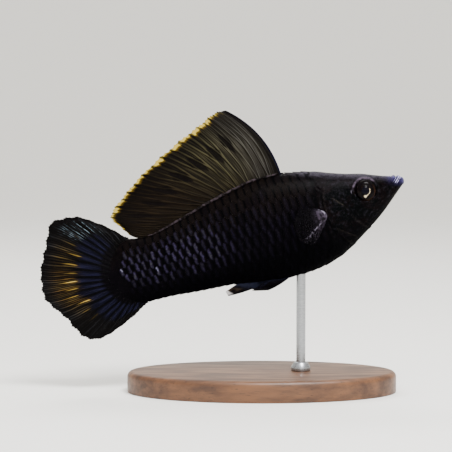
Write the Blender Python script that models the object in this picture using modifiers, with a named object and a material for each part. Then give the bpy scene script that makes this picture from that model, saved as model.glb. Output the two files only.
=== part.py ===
"""A life-size black sailfin molly, a male, nose up on a plain oval stand.

The fish is drawn in its own frame, in millimetres: "along" runs back from the snout tip, "side" runs
to its left and "up" runs from belly to back. An empty at the snout tip pitches and places it all.
"""

import math
from collections import namedtuple

import bmesh
import bpy
from mathutils import Vector

MM = 0.001

# Driving dimensions of the fish, in millimetres
PITCH_DEG = 18.0
TAIL_ROOT_ALONG = 66.0
TAIL_ROOT_UP = -1.2
TAIL_ROOT_RADIUS = 7.85
GAP = 0.3
FIN_GAP = 0.35
SECTION_SIDES = 28

Station = namedtuple("Station", "along back belly half_width widest round_above round_below")

# Cross-sections from snout to tail: heights of back and belly, half width, how far up the section is
# widest (as a share of its height), and how full its upper and lower halves are (2 is an ellipse).
STATIONS = (
    Station(0.0, 0.30, -0.50, 1.15, 0.60, 2.4, 2.2),
    Station(0.5, 0.85, -1.00, 1.75, 0.62, 2.5, 2.2),
    Station(2.0, 1.50, -2.15, 2.50, 0.64, 2.6, 2.2),
    Station(4.0, 2.15, -3.70, 3.15, 0.64, 2.7, 2.2),
    Station(6.5, 3.20, -5.60, 3.85, 0.62, 2.7, 2.1),
    Station(9.2, 4.40, -7.40, 4.45, 0.60, 2.6, 2.0),
    Station(12.5, 5.45, -9.30, 5.00, 0.58, 2.4, 2.0),
    Station(16.0, 6.80, -11.20, 5.50, 0.57, 2.2, 2.0),
    Station(20.0, 8.50, -13.00, 5.85, 0.57, 2.1, 2.0),
    Station(24.0, 9.60, -13.75, 6.00, 0.57, 2.0, 2.0),
    Station(28.0, 10.45, -14.05, 5.95, 0.57, 1.9, 2.0),
    Station(34.0, 10.75, -13.75, 5.65, 0.57, 1.9, 2.0),
    Station(40.0, 9.95, -12.60, 5.15, 0.57, 1.9, 2.0),
    Station(46.0, 8.90, -11.30, 4.50, 0.56, 1.9, 2.0),
    Station(54.0, 7.10, -10.35, 3.60, 0.55, 2.0, 2.0),
    Station(61.5, 5.95, -9.35, 2.70, 0.53, 2.1, 2.1),
    Station(66.0, 6.65, -9.05, 2.05, 0.50, 2.1, 2.1),
)
PADDLE_TIP_HALF_WIDTH = 0.45

# Head
GILL_CENTRE = (6.0, -1.0)
GILL_RADIUS = 14.3
GILL_COVER_INNER_RADIUS = 7.2
GILL_COVER_TOP_DEG = 18.0
GILL_COVER_BOTTOM_DEG = -62.0
GILL_COVER_INNER_SIDE = 3.6
GILL_SPACE_OVERRUN = 2.0
GILL_SPACE_SPARE_DEG = 1.5
MOUTH_CORNER = (3.0, 0.1)
MOUTH_FRONT = (-1.0, 3.3)
CHIN = (5.2, -5.6)
EYE_PLACE = (9.75, 3.62, 0.5)
EYE_RADIUS = 2.55
EYE_HALF_THICKNESS = 1.55
TAIL_CUT_ALONG = 47.0

# Dorsal fin: where its base starts and ends, the rays and the margin that their tips reach
SAIL_BASE_FRONT = 27.2
SAIL_BASE_BACK = 61.9
SAIL_RAYS = 14
SAIL_BOW = 0.22
SAIL_BOW_FALL = 0.42
SAIL_SWAY = 0.9
SAIL_MARGIN = (
    (0.00, 35.0, 28.4),
    (0.08, 37.2, 28.9),
    (0.22, 42.4, 27.1),
    (0.38, 53.0, 23.0),
    (0.53, 63.0, 17.7),
    (0.69, 69.0, 12.9),
    (0.88, 67.5, 10.1),
    (1.00, 65.9, 7.6),
)

# Caudal fin: the fan of its ray roots round the paddle, and the margin
TAIL_RAYS = 18
TAIL_FAN_TOP_DEG = 88.0
TAIL_FAN_BOTTOM_DEG = -84.0
TAIL_SWAY = 1.2
TAIL_LENGTH = 24.0
TAIL_BOW = 0.06
TAIL_MARGIN = (
    (0.00, 66.6, 7.9),
    (0.10, 72.0, 12.6),
    (0.20, 77.8, 16.1),
    (0.27, 82.1, 16.4),
    (0.36, 85.7, 11.6),
    (0.47, 89.4, 4.4),
    (0.55, 90.2, -0.2),
    (0.65, 87.2, -6.0),
    (0.77, 83.3, -13.2),
    (0.83, 80.0, -14.1),
    (0.92, 73.8, -12.5),
    (1.00, 67.2, -9.9),
)

# Paired fins and the male's rod-like anal fin
PECTORAL_ROOT_TOP = (21.6, 0.0)
PECTORAL_ROOT_BOTTOM = (20.9, -3.6)
PECTORAL_MARGIN = (
    (0.00, 25.9, 1.6),
    (0.25, 28.0, -0.6),
    (0.55, 28.6, -3.8),
    (0.80, 27.3, -6.6),
    (1.00, 24.9, -7.9),
)
PECTORAL_STANDOFF = 0.7
PECTORAL_SPREAD = 1.3
PECTORAL_BOW = 0.03
PELVIC_ROOT_FRONT = 32.0
PELVIC_ROOT_BACK = 38.0
PELVIC_TIP_FRONT = (38.8, -15.1)
PELVIC_TIP_BACK = (42.4, -14.1)
PELVIC_ROOT_SIDE = 1.0
PELVIC_TIP_SIDE = 1.4
PELVIC_BOW = -0.10
ANAL_ROOT_FRONT = 36.6
ANAL_ROOT_BACK = 44.0
ANAL_ROD_BEND = (42.0, -14.3)
ANAL_TIP_LOW = (48.0, -13.6)
ANAL_TIP_HIGH = (48.3, -12.4)

# Fin thickness at the root and, as a share of it, at the tip
FIN_ROOT_THICKNESS = 0.9
FIN_TIP_SHARE = 0.58
SMALL_FIN_THICKNESS = 0.6
SMALL_FIN_TIP_SHARE = 0.9
RAY_NOTCH = 0.45

# Stand
BASE_HALF_LENGTH = 32.0
BASE_HALF_WIDTH = 17.0
BASE_HEIGHT = 5.0
BASE_EDGE = 1.2
ROD_RADIUS = 1.1
ROD_ALONG = 30.0
COLLAR_RADIUS = 2.3
COLLAR_HEIGHT = 1.8
COLLAR_EDGE = 0.4
SNOUT_X = 33.5
SNOUT_Z = 50.6

# How far the cutters reach past the body
CUTTER_SIDE = 15.0
CUTTER_UP = 20.0
CUTTER_BACK = 90.0


def clear_scene():
    for obj in list(bpy.data.objects):
        bpy.data.objects.remove(obj)


def collection(name):
    made = bpy.data.collections.new(name)
    bpy.context.scene.collection.children.link(made)
    return made


def material(name, colour, roughness, metallic=0.0):
    made = bpy.data.materials.new(name)
    made.use_nodes = True
    shader = made.node_tree.nodes["Principled BSDF"]
    shader.inputs["Base Color"].default_value = (*colour, 1.0)
    shader.inputs["Roughness"].default_value = roughness
    shader.inputs["Metallic"].default_value = metallic
    return made


def smooth(knots, values, x):
    """The value at x on a curve through the knots that never overshoots them."""
    last = len(knots) - 2
    i = next((k for k in range(last) if x < knots[k + 1]), last)
    steps = [knots[k + 1] - knots[k] for k in range(last + 1)]
    rises = [(values[k + 1] - values[k]) / steps[k] for k in range(last + 1)]

    def slope(k):
        if k == 0 or k == last + 1:
            return rises[min(k, last)]
        before, after = rises[k - 1], rises[k]
        return 0.0 if before * after <= 0 else 2 * before * after / (before + after)

    t = min(max((x - knots[i]) / steps[i], 0.0), 1.0)
    start, end = slope(i) * steps[i], slope(i + 1) * steps[i]
    return (
        values[i] * (1 + 2 * t) * (1 - t) ** 2
        + start * t * (1 - t) ** 2
        + values[i + 1] * t * t * (3 - 2 * t)
        + end * t * t * (t - 1)
    )


def section(along):
    """The cross-section at a distance from the snout. Behind the tail root it rounds off as a paddle."""
    knots = [s.along for s in STATIONS]
    reach = min(along, TAIL_ROOT_ALONG)
    read = {
        field: smooth(knots, [getattr(s, field) for s in STATIONS], reach)
        for field in Station._fields[1:]
    }
    if along > TAIL_ROOT_ALONG:
        past = (along - TAIL_ROOT_ALONG) / TAIL_ROOT_RADIUS
        half_height = TAIL_ROOT_RADIUS * math.sqrt(max(1 - past * past, 0.0))
        thin = 1 - past * past * (3 - 2 * past)
        read["back"] = TAIL_ROOT_UP + half_height
        read["belly"] = TAIL_ROOT_UP - half_height
        read["half_width"] = PADDLE_TIP_HALF_WIDTH + (read["half_width"] - PADDLE_TIP_HALF_WIDTH) * thin
    return Station(along=along, **read)


def widest_height(cut):
    return cut.belly + (cut.back - cut.belly) * cut.widest


def flank(along, up):
    """How far the flank stands out from the middle of the body at this place."""
    cut = section(along)
    level = widest_height(cut)
    above = up >= level
    reach = (cut.back - level) if above else (level - cut.belly)
    share = min(abs(up - level) / max(reach, 1e-6), 1.0)
    power = cut.round_above if above else cut.round_below
    return cut.half_width * (1 - share**power) ** (1 / power)


def place(along, side, up):
    """A point of the fish, in metres, in the frame of its pose."""
    return Vector((-along, side, up)) * MM


def face_out(bm):
    bm.normal_update()
    bmesh.ops.recalc_face_normals(bm, faces=bm.faces)


def add_mesh(name, bm, parent, home, look=None):
    mesh = bpy.data.meshes.new(name)
    bm.to_mesh(mesh)
    bm.free()
    mesh.shade_smooth()
    mesh.set_sharp_from_angle(angle=math.radians(40))
    obj = bpy.data.objects.new(name, mesh)
    obj.parent = parent
    home.objects.link(obj)
    if look:
        mesh.materials.append(look)
    else:
        obj.hide_render = True
        obj.display_type = "WIRE"
    return obj


def ring_distances():
    """Where the rings of the loft stand: close at the snout and the tail root, wide in between."""
    head = [0.0, 0.35, 1.0, 2.0, 3.0, 4.2, 5.6, 7.2, 9.2, 11.2, 13.4, 16.0, 18.6]
    trunk = [21.0 + 3.0 * k for k in range(15)]
    paddle = [
        TAIL_ROOT_ALONG + TAIL_ROOT_RADIUS * math.sin(math.radians(a)) for a in (0, 20, 38, 54, 68, 78, 84)
    ]
    return head + trunk + paddle


def body_form():
    """The whole body as one loft of rings, from the lips to the rounded end under the caudal fin."""
    bm = bmesh.new()
    rings = []
    for along in ring_distances():
        cut = section(along)
        level = widest_height(cut)
        ring = bmesh.ops.create_circle(bm, segments=SECTION_SIDES, radius=1.0)["verts"]
        for vert in ring:
            turn = math.atan2(vert.co.y, vert.co.x)
            above = vert.co.y >= 0
            power = 2 / (cut.round_above if above else cut.round_below)
            reach = (cut.back - level) if above else (level - cut.belly)
            side = math.copysign(abs(math.cos(turn)) ** power, vert.co.x) * cut.half_width
            up = level + math.copysign(abs(math.sin(turn)) ** power, vert.co.y) * reach
            vert.co = place(along, side, up)
        rings.append(ring)
    loops = [[e for e in bm.edges if e.verts[0] in set(r) and e.verts[1] in set(r)] for r in rings]
    for first, second in zip(loops, loops[1:]):
        bmesh.ops.bridge_loops(bm, edges=first + second)
    for end in (loops[0], loops[-1]):
        bmesh.ops.holes_fill(bm, edges=end, sides=0)
    face_out(bm)
    return bm


def prism(outline, side_from, side_to):
    """An outline in the side view, given as (along, up) points, carried across from one side to the other."""
    bm = bmesh.new()
    verts = [bm.verts.new(place(along, side_from, up)) for along, up in outline]
    face = bm.faces.new(verts)
    pushed = bmesh.ops.extrude_face_region(bm, geom=[face])["geom"]
    across = Vector((0, side_to - side_from, 0)) * MM
    bmesh.ops.translate(bm, vec=across, verts=[g for g in pushed if isinstance(g, bmesh.types.BMVert)])
    face_out(bm)
    return bm


def arc(centre, radius, from_deg, to_deg, steps):
    """Points on an arc in the side view. Degrees run up from straight back."""
    turns = [math.radians(from_deg + (to_deg - from_deg) * k / steps) for k in range(steps + 1)]
    return [(centre[0] + radius * math.cos(t), centre[1] + radius * math.sin(t)) for t in turns]


def gill_sector(inner, outer, spare_deg):
    """The side view of a gill cover: a sector of a ring round a centre behind the mouth."""
    top, bottom = GILL_COVER_TOP_DEG + spare_deg, GILL_COVER_BOTTOM_DEG - spare_deg
    return arc(GILL_CENTRE, outer, top, bottom, 12) + arc(GILL_CENTRE, inner, bottom, top, 8)


def jaw_outline(spare):
    """The side view of the lower jaw: under the slanting mouth and in front of the line to the chin."""
    return (
        (MOUTH_FRONT[0], MOUTH_FRONT[1] + spare),
        (MOUTH_CORNER[0] + spare, MOUTH_CORNER[1] + spare),
        (CHIN[0] + spare, CHIN[1]),
        (MOUTH_FRONT[0], CHIN[1]),
    )


def block_behind(along):
    side_view = (
        (along, CUTTER_UP),
        (CUTTER_BACK, CUTTER_UP),
        (CUTTER_BACK, -CUTTER_UP),
        (along, -CUTTER_UP),
    )
    return prism(side_view, -CUTTER_SIDE, CUTTER_SIDE)


def eye_form(side, spare):
    bm = bmesh.new()
    bmesh.ops.create_uvsphere(bm, u_segments=20, v_segments=12, radius=1.0)
    along, out, up = EYE_PLACE
    for vert in bm.verts:
        x, y, z = vert.co
        vert.co = place(
            along + x * (EYE_RADIUS + spare),
            side * out + z * (EYE_HALF_THICKNESS + spare),
            up + y * (EYE_RADIUS + spare),
        )
    face_out(bm)
    return bm


def boolean(obj, operation, cutter):
    step = obj.modifiers.new(cutter.name, "BOOLEAN")
    step.operation = operation
    step.object = cutter
    step.solver = "EXACT"


def fin_sheet(name, columns, rows, shape, thickness, tip_share, pose, home, look):
    """A fin as a grid whose columns run along the rays: shape(u, v) gives along, side and up, with u
    from the first ray to the last and v from root to tip."""
    bm = bmesh.new()
    bmesh.ops.create_grid(bm, x_segments=columns, y_segments=rows, size=0.5)
    thick = bm.verts.layers.deform.new()
    for vert in bm.verts:
        u, v = vert.co.x + 0.5, vert.co.y + 0.5
        vert[thick][0] = 1 - v
        vert.co = place(*shape(u, v))
    obj = add_mesh(name, bm, pose, home, look)
    obj.vertex_groups.new(name="root")
    shell = obj.modifiers.new("thickness", "SOLIDIFY")
    shell.thickness = thickness * MM
    shell.offset = 0.0
    shell.vertex_group = "root"
    shell.thickness_vertex_group = tip_share
    return obj


def margin_point(margin, u):
    knots = [m[0] for m in margin]
    return tuple(smooth(knots, [m[k] for m in margin], u) for k in (1, 2))


def bowed(root, tip, bow, v):
    """A point on a ray from root to tip whose middle is pushed forward by bow, a share of its length."""
    run, rise = tip[0] - root[0], tip[1] - root[1]
    mid = ((root[0] + tip[0]) / 2 - rise * bow, (root[1] + tip[1]) / 2 + run * bow)
    blend = ((1 - v) ** 2, 2 * v * (1 - v), v * v)
    return tuple(sum(b * p[k] for b, p in zip(blend, (root, mid, tip))) for k in (0, 1))


def notched(root, tip, u, rays):
    """The tip, drawn in where the membrane dips between two rays."""
    between = abs(math.sin(math.pi * u * (rays - 1)))
    length = math.dist(root, tip)
    share = 1 - RAY_NOTCH * between / length
    return tuple(r + (t - r) * share for r, t in zip(root, tip))


def sail_shape(u, v):
    along = SAIL_BASE_FRONT + (SAIL_BASE_BACK - SAIL_BASE_FRONT) * u
    root = (along, section(along).back + FIN_GAP)
    tip = notched(root, margin_point(SAIL_MARGIN, u), u, SAIL_RAYS)
    at, up = bowed(root, tip, SAIL_BOW - SAIL_BOW_FALL * u, v)
    return at, SAIL_SWAY * math.sin(math.pi * u) * v * v, up


def tail_shape(u, v):
    turn = math.radians(TAIL_FAN_TOP_DEG + (TAIL_FAN_BOTTOM_DEG - TAIL_FAN_TOP_DEG) * u)
    radius = TAIL_ROOT_RADIUS + GAP
    root = (TAIL_ROOT_ALONG + radius * math.cos(turn), TAIL_ROOT_UP + radius * math.sin(turn))
    tip = notched(root, margin_point(TAIL_MARGIN, u), u, TAIL_RAYS)
    at, up = bowed(root, tip, TAIL_BOW * (1 - 2 * u), v)
    return at, TAIL_SWAY * ((at - TAIL_ROOT_ALONG) / TAIL_LENGTH) ** 2, up


def pectoral_shape(side):
    def shape(u, v):
        root = tuple(a + (b - a) * u for a, b in zip(PECTORAL_ROOT_TOP, PECTORAL_ROOT_BOTTOM))
        at, up = bowed(root, margin_point(PECTORAL_MARGIN, u), PECTORAL_BOW, v)
        return at, side * (flank(at, up) + PECTORAL_STANDOFF + PECTORAL_SPREAD * v), up

    return shape


def pelvic_shape(side):
    def shape(u, v):
        along = PELVIC_ROOT_FRONT + (PELVIC_ROOT_BACK - PELVIC_ROOT_FRONT) * u
        root = (along, section(along).belly - FIN_GAP)
        tip = tuple(a + (b - a) * u for a, b in zip(PELVIC_TIP_FRONT, PELVIC_TIP_BACK))
        at, up = bowed(root, tip, PELVIC_BOW * (1 - u), v)
        return at, side * (PELVIC_ROOT_SIDE + (PELVIC_TIP_SIDE - PELVIC_ROOT_SIDE) * v), up

    return shape


def anal_shape(u, v):
    """The male's anal fin: a short fleshy root that draws into a rod with a hooded tip."""
    along = ANAL_ROOT_FRONT + (ANAL_ROOT_BACK - ANAL_ROOT_FRONT) * u
    root = (along, section(along).belly - FIN_GAP)
    tip = tuple(a + (b - a) * u for a, b in zip(ANAL_TIP_LOW, ANAL_TIP_HIGH))
    low = [(1 - v) ** 2 * r + 2 * v * (1 - v) * b + v * v * t for r, b, t in zip(root, ANAL_ROD_BEND, tip)]
    high = bowed(root, tip, 0.0, v)
    at, up = (a + (b - a) * u for a, b in zip(low, high))
    return at, 0.0, up


def build_flesh(pose, parts, cutters, skin):
    whole = add_mesh("body_form", body_form(), pose, cutters)
    cylinders = {}
    for name, spare in (("gill_line", 0.0), ("gill_line_behind", GAP)):
        disc = arc(GILL_CENTRE, GILL_RADIUS + spare, 0, 357, 119)
        cylinders[name] = add_mesh(name, prism(disc, -CUTTER_SIDE, CUTTER_SIDE), pose, cutters)
    across = (-CUTTER_SIDE, CUTTER_SIDE)
    jaw = add_mesh("jaw_form", prism(jaw_outline(0.0), *across), pose, cutters)
    jaw_space = add_mesh("jaw_space", prism(jaw_outline(GAP), *across), pose, cutters)
    tail_start = add_mesh("tail_start", block_behind(TAIL_CUT_ALONG + GAP / 2), pose, cutters)
    trunk_end = add_mesh("trunk_end", block_behind(TAIL_CUT_ALONG - GAP / 2), pose, cutters)

    def piece(name, *steps):
        obj = add_mesh(name, mesh_copy(whole), pose, parts, skin)
        for operation, cutter in steps:
            boolean(obj, operation, cutter)
        return obj

    head_steps = [("INTERSECT", cylinders["gill_line"]), ("DIFFERENCE", jaw_space)]
    for side, name in ((1, "left"), (-1, "right")):
        near, far = side * GILL_COVER_INNER_SIDE, side * CUTTER_SIDE
        cover = prism(gill_sector(GILL_COVER_INNER_RADIUS, GILL_RADIUS, 0), near, far)
        wider = gill_sector(
            GILL_COVER_INNER_RADIUS - GAP, GILL_RADIUS + GILL_SPACE_OVERRUN, GILL_SPACE_SPARE_DEG
        )
        space = prism(wider, near - side * GAP, far)
        cover_form = add_mesh(f"gill_cover_form_{name}", cover, pose, cutters)
        head_steps.append(("DIFFERENCE", add_mesh(f"gill_space_{name}", space, pose, cutters)))
        head_steps.append(("DIFFERENCE", add_mesh(f"eye_socket_{name}", eye_form(side, GAP), pose, cutters)))
        piece(f"gill_cover_{name}", ("INTERSECT", cover_form))
    piece("head", *head_steps)
    piece("lower_jaw", ("INTERSECT", jaw))
    piece("trunk", ("DIFFERENCE", cylinders["gill_line_behind"]), ("DIFFERENCE", trunk_end))
    piece("tail", ("INTERSECT", tail_start))
    return whole


def mesh_copy(obj):
    bm = bmesh.new()
    bm.from_mesh(obj.data)
    return bm


def build_eyes(pose, parts, look):
    for side, name in ((1, "left"), (-1, "right")):
        add_mesh(f"eye_{name}", eye_form(side, 0.0), pose, parts, look)


def build_fins(pose, parts, look):
    tall = (FIN_ROOT_THICKNESS, FIN_TIP_SHARE, pose, parts, look)
    fin_sheet("dorsal_fin", 2 * (SAIL_RAYS - 1), 7, sail_shape, *tall)
    fin_sheet("caudal_fin", 2 * (TAIL_RAYS - 1), 6, tail_shape, *tall)
    fin_sheet("anal_fin", 4, 9, anal_shape, *tall)
    small = (SMALL_FIN_THICKNESS, SMALL_FIN_TIP_SHARE, pose, parts, look)
    for side, name in ((1, "left"), (-1, "right")):
        fin_sheet(f"pectoral_fin_{name}", 10, 4, pectoral_shape(side), *small)
        fin_sheet(f"pelvic_fin_{name}", 4, 5, pelvic_shape(side), *small)


def build_base(parts, look):
    """An oval plate with a rounded upper edge, flat underneath."""
    bm = bmesh.new()
    bmesh.ops.create_cone(bm, cap_ends=True, segments=56, radius1=1.0, radius2=1.0, depth=1.0)
    bmesh.ops.scale(bm, vec=Vector((BASE_HALF_LENGTH, BASE_HALF_WIDTH, BASE_HEIGHT)) * MM, verts=bm.verts)
    bmesh.ops.translate(bm, vec=Vector((0, 0, BASE_HEIGHT / 2)) * MM, verts=bm.verts)
    top = [e for e in bm.edges if all(v.co.z > BASE_HEIGHT * MM * 0.9 for v in e.verts)]
    bmesh.ops.bevel(bm, geom=top, offset=BASE_EDGE * MM, segments=3, profile=0.5, affect="EDGES", material=-1)
    add_mesh("stand_base", bm, None, parts, look)


def rod_x(pose_matrix):
    return (pose_matrix @ place(ROD_ALONG, 0, section(ROD_ALONG).belly)).x


def build_rod(pose_matrix, parts, cutters, whole, look):
    """A straight rod from the base to the belly, its top cut to the belly's own curve."""
    belly = pose_matrix @ place(ROD_ALONG, 0, section(ROD_ALONG).belly)
    foot, top = (BASE_HEIGHT + GAP) * MM, belly.z + 2 * COLLAR_RADIUS * MM
    bm = bmesh.new()
    bmesh.ops.create_cone(
        bm, cap_ends=True, segments=20, radius1=ROD_RADIUS * MM, radius2=ROD_RADIUS * MM, depth=top - foot
    )
    bmesh.ops.translate(bm, vec=(belly.x, 0, (top + foot) / 2), verts=bm.verts)
    rod = add_mesh("stand_rod", bm, None, parts, look)
    bm = mesh_copy(whole)
    bmesh.ops.transform(bm, matrix=pose_matrix, verts=bm.verts)
    bmesh.ops.translate(bm, vec=(0, 0, -GAP * MM), verts=bm.verts)
    boolean(rod, "DIFFERENCE", add_mesh("belly_form", bm, None, cutters))


def build_collar(x, parts, look):
    """A turned ring round the foot of the rod."""
    inner, outer = ROD_RADIUS + GAP, COLLAR_RADIUS
    low, high = BASE_HEIGHT + GAP, BASE_HEIGHT + GAP + COLLAR_HEIGHT
    profile = ((inner, high), (outer - COLLAR_EDGE, high), (outer, high - COLLAR_EDGE), (outer, low), (inner, low))
    bm = bmesh.new()
    verts = [bm.verts.new(Vector((radius, 0, up)) * MM) for radius, up in profile]
    edges = [bm.edges.new((a, b)) for a, b in zip(verts, verts[1:] + verts[:1])]
    bmesh.ops.spin(
        bm, geom=verts + edges, cent=(0, 0, 0), axis=(0, 0, 1), angle=math.tau, steps=28, use_merge=True
    )
    bmesh.ops.remove_doubles(bm, verts=bm.verts, dist=1e-6)
    face_out(bm)
    bmesh.ops.translate(bm, vec=(x, 0, 0), verts=bm.verts)
    add_mesh("stand_collar", bm, None, parts, look)


def main():
    clear_scene()
    parts, cutters = collection("sailfin_molly"), collection("cutters")
    skin = material("black_skin", (0.012, 0.011, 0.016), 0.35)
    fin = material("dark_fin", (0.035, 0.028, 0.012), 0.45)
    eye = material("dark_eye", (0.02, 0.015, 0.01), 0.1)
    wood = material("walnut", (0.12, 0.06, 0.03), 0.5)
    steel = material("steel", (0.6, 0.6, 0.62), 0.3, 1.0)

    pose = bpy.data.objects.new("swimming_pose", None)
    pose.location = Vector((SNOUT_X, 0, SNOUT_Z)) * MM
    pose.rotation_euler = (0, math.radians(-PITCH_DEG), 0)
    parts.objects.link(pose)
    bpy.context.view_layer.update()

    whole = build_flesh(pose, parts, cutters, skin)
    build_eyes(pose, parts, eye)
    build_fins(pose, parts, fin)
    build_base(parts, wood)
    build_rod(pose.matrix_world, parts, cutters, whole, steel)
    build_collar(rod_x(pose.matrix_world), parts, steel)


main()
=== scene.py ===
"""The looks of a life-size black sailfin molly on its display stand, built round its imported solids."""

import math
import random
from collections import namedtuple
from functools import lru_cache, partial

import bmesh
import bpy
import numpy as np
from bpy.props import FloatProperty, FloatVectorProperty, IntProperty, PointerProperty
from bpy.types import Operator, Panel, PropertyGroup
from mathutils import Matrix, Vector


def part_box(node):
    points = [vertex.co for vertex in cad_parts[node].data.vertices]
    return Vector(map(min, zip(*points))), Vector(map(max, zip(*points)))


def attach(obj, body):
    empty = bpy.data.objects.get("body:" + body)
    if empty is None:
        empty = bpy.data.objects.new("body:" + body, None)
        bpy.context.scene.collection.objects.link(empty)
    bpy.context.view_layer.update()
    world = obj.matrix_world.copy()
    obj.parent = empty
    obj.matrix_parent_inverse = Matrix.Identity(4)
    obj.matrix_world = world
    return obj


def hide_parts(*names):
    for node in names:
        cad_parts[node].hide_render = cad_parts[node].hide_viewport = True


bl_info = {
    "name": "Sailfin Molly Model",
    "version": (1, 0, 0),
    "blender": (4, 5, 0),
    "location": "3D Viewport > Sidebar > Molly",
    "description": "Builds the skin, scales, fins, eyes and stand of a life-size sailfin molly",
    "category": "Object",
}

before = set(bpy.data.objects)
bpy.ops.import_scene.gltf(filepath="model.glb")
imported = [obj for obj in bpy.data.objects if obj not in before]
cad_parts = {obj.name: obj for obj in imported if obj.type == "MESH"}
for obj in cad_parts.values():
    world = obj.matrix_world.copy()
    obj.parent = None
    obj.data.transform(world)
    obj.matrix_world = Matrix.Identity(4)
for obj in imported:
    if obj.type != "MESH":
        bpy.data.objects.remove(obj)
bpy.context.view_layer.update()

# One millimetre in Blender's unit. The fish's own frame is in millimetres from its snout tip.
MM = 0.001
SNOUT = Vector((33.5, 0, 50.6)) * MM
PITCH_DEG = 18.0

# The body, as its solids have it
TAIL_ROOT_ALONG = 66.0
TAIL_ROOT_UP = -1.2
TAIL_ROOT_RADIUS = 7.85
PADDLE_TIP_HALF_WIDTH = 0.45
NOSE_ROUNDING = 0.6

Station = namedtuple("Station", "along back belly half_width widest round_above round_below")

STATIONS = (
    Station(0.0, 0.30, -0.50, 1.15, 0.60, 2.4, 2.2),
    Station(0.5, 0.85, -1.00, 1.75, 0.62, 2.5, 2.2),
    Station(2.0, 1.50, -2.15, 2.50, 0.64, 2.6, 2.2),
    Station(4.0, 2.15, -3.70, 3.15, 0.64, 2.7, 2.2),
    Station(6.5, 3.20, -5.60, 3.85, 0.62, 2.7, 2.1),
    Station(9.2, 4.40, -7.40, 4.45, 0.60, 2.6, 2.0),
    Station(12.5, 5.45, -9.30, 5.00, 0.58, 2.4, 2.0),
    Station(16.0, 6.80, -11.20, 5.50, 0.57, 2.2, 2.0),
    Station(20.0, 8.50, -13.00, 5.85, 0.57, 2.1, 2.0),
    Station(24.0, 9.60, -13.75, 6.00, 0.57, 2.0, 2.0),
    Station(28.0, 10.45, -14.05, 5.95, 0.57, 1.9, 2.0),
    Station(34.0, 10.75, -13.75, 5.65, 0.57, 1.9, 2.0),
    Station(40.0, 9.95, -12.60, 5.15, 0.57, 1.9, 2.0),
    Station(46.0, 8.90, -11.30, 4.50, 0.56, 1.9, 2.0),
    Station(54.0, 7.10, -10.35, 3.60, 0.55, 2.0, 2.0),
    Station(61.5, 5.95, -9.35, 2.70, 0.53, 2.1, 2.1),
    Station(66.0, 6.65, -9.05, 2.05, 0.50, 2.1, 2.1),
)

# Places on the head, as (along, up)
MOUTH_CORNER = Vector((3.0, 0.1))
MOUTH_FRONT = Vector((-1.0, 3.3))
EYE_CENTRE = Vector((9.75, 0.5))
EYE_SIDE = 3.62
EYE_RADIUS = 2.55
EYE_HALF_THICKNESS = 1.55
ORBIT_RADIUS = 2.44
# Radii of the painted highlights, pale arcs on the orbit: the one above the eye and the one behind it
ORBIT_ARCS = (3.0, 3.35)
NOSTRIL = Vector((6.0, 2.35))
NOSTRIL_SLIT_END = Vector((4.3, 1.35))
GILL_CENTRE = Vector((6.0, -1.0))
GILL_RADIUS = 14.3
CHEEK_FOLD = (Vector((20.3, 4.6)), Vector((15.9, -0.95)))
LOWER_FOLD = (Vector((19.0, -5.6)), Vector((15.2, -8.9)))
PECTORAL_PAD = Vector((20.9, -1.6))
# The painted highlight on a fold's lit edge lies this far in front of it and below it.
FOLD_EDGE = Vector((0.26, 0.26))
# The painted white highlights on the lip folds: how far back and up from the snout's tip the first one is,
# and their step
LIP_FOLD_START = 1.12
LIP_FOLD_STEP = 0.4
# Behind here the skin has no relief of its own.
HEAD_END = 24.0

# Each fin's thickness: the membrane's at its root and edge, then the rays' at theirs.
SAIL_THICKNESS = (0.26, 0.14, 0.55, 0.26)
TAIL_THICKNESS = (0.45, 0.14, 0.75, 0.26)
PECTORAL_THICKNESS = (0.20, 0.11, 0.28, 0.16)
PELVIC_THICKNESS = (0.28, 0.14, 0.42, 0.22)
ANAL_THICKNESS = (0.6, 0.28, 0.85, 0.45)

# Dorsal fin
SAIL_BASE_FRONT = 27.2
SAIL_BASE_BACK = 61.9
SAIL_RAYS = 14
SAIL_BOW = 0.22
SAIL_BOW_FALL = 0.42
SAIL_SWAY = 0.9
SHEATH_OVERHANG = 0.6
SAIL_MARGIN = (
    (0.00, 35.0, 28.4),
    (0.08, 37.2, 28.9),
    (0.22, 42.4, 27.1),
    (0.38, 53.0, 23.0),
    (0.53, 63.0, 17.7),
    (0.69, 69.0, 12.9),
    (0.88, 67.5, 10.1),
    (1.00, 65.9, 7.6),
)

# Caudal fin
TAIL_RAYS = 24
TAIL_FAN_TOP_DEG = 88.0
TAIL_FAN_BOTTOM_DEG = -84.0
TAIL_SWAY = 1.2
TAIL_LENGTH = 24.0
TAIL_BOW = 0.06
TAIL_MARGIN = (
    (0.00, 66.25, 7.15),
    (0.10, 72.0, 12.6),
    (0.20, 77.8, 16.1),
    (0.27, 82.1, 16.4),
    (0.36, 85.7, 11.6),
    (0.47, 89.4, 4.4),
    (0.55, 90.2, -0.2),
    (0.65, 87.2, -6.0),
    (0.77, 83.3, -13.2),
    (0.83, 80.0, -14.1),
    (0.92, 73.8, -12.5),
    (1.00, 66.5, -9.35),
)

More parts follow.
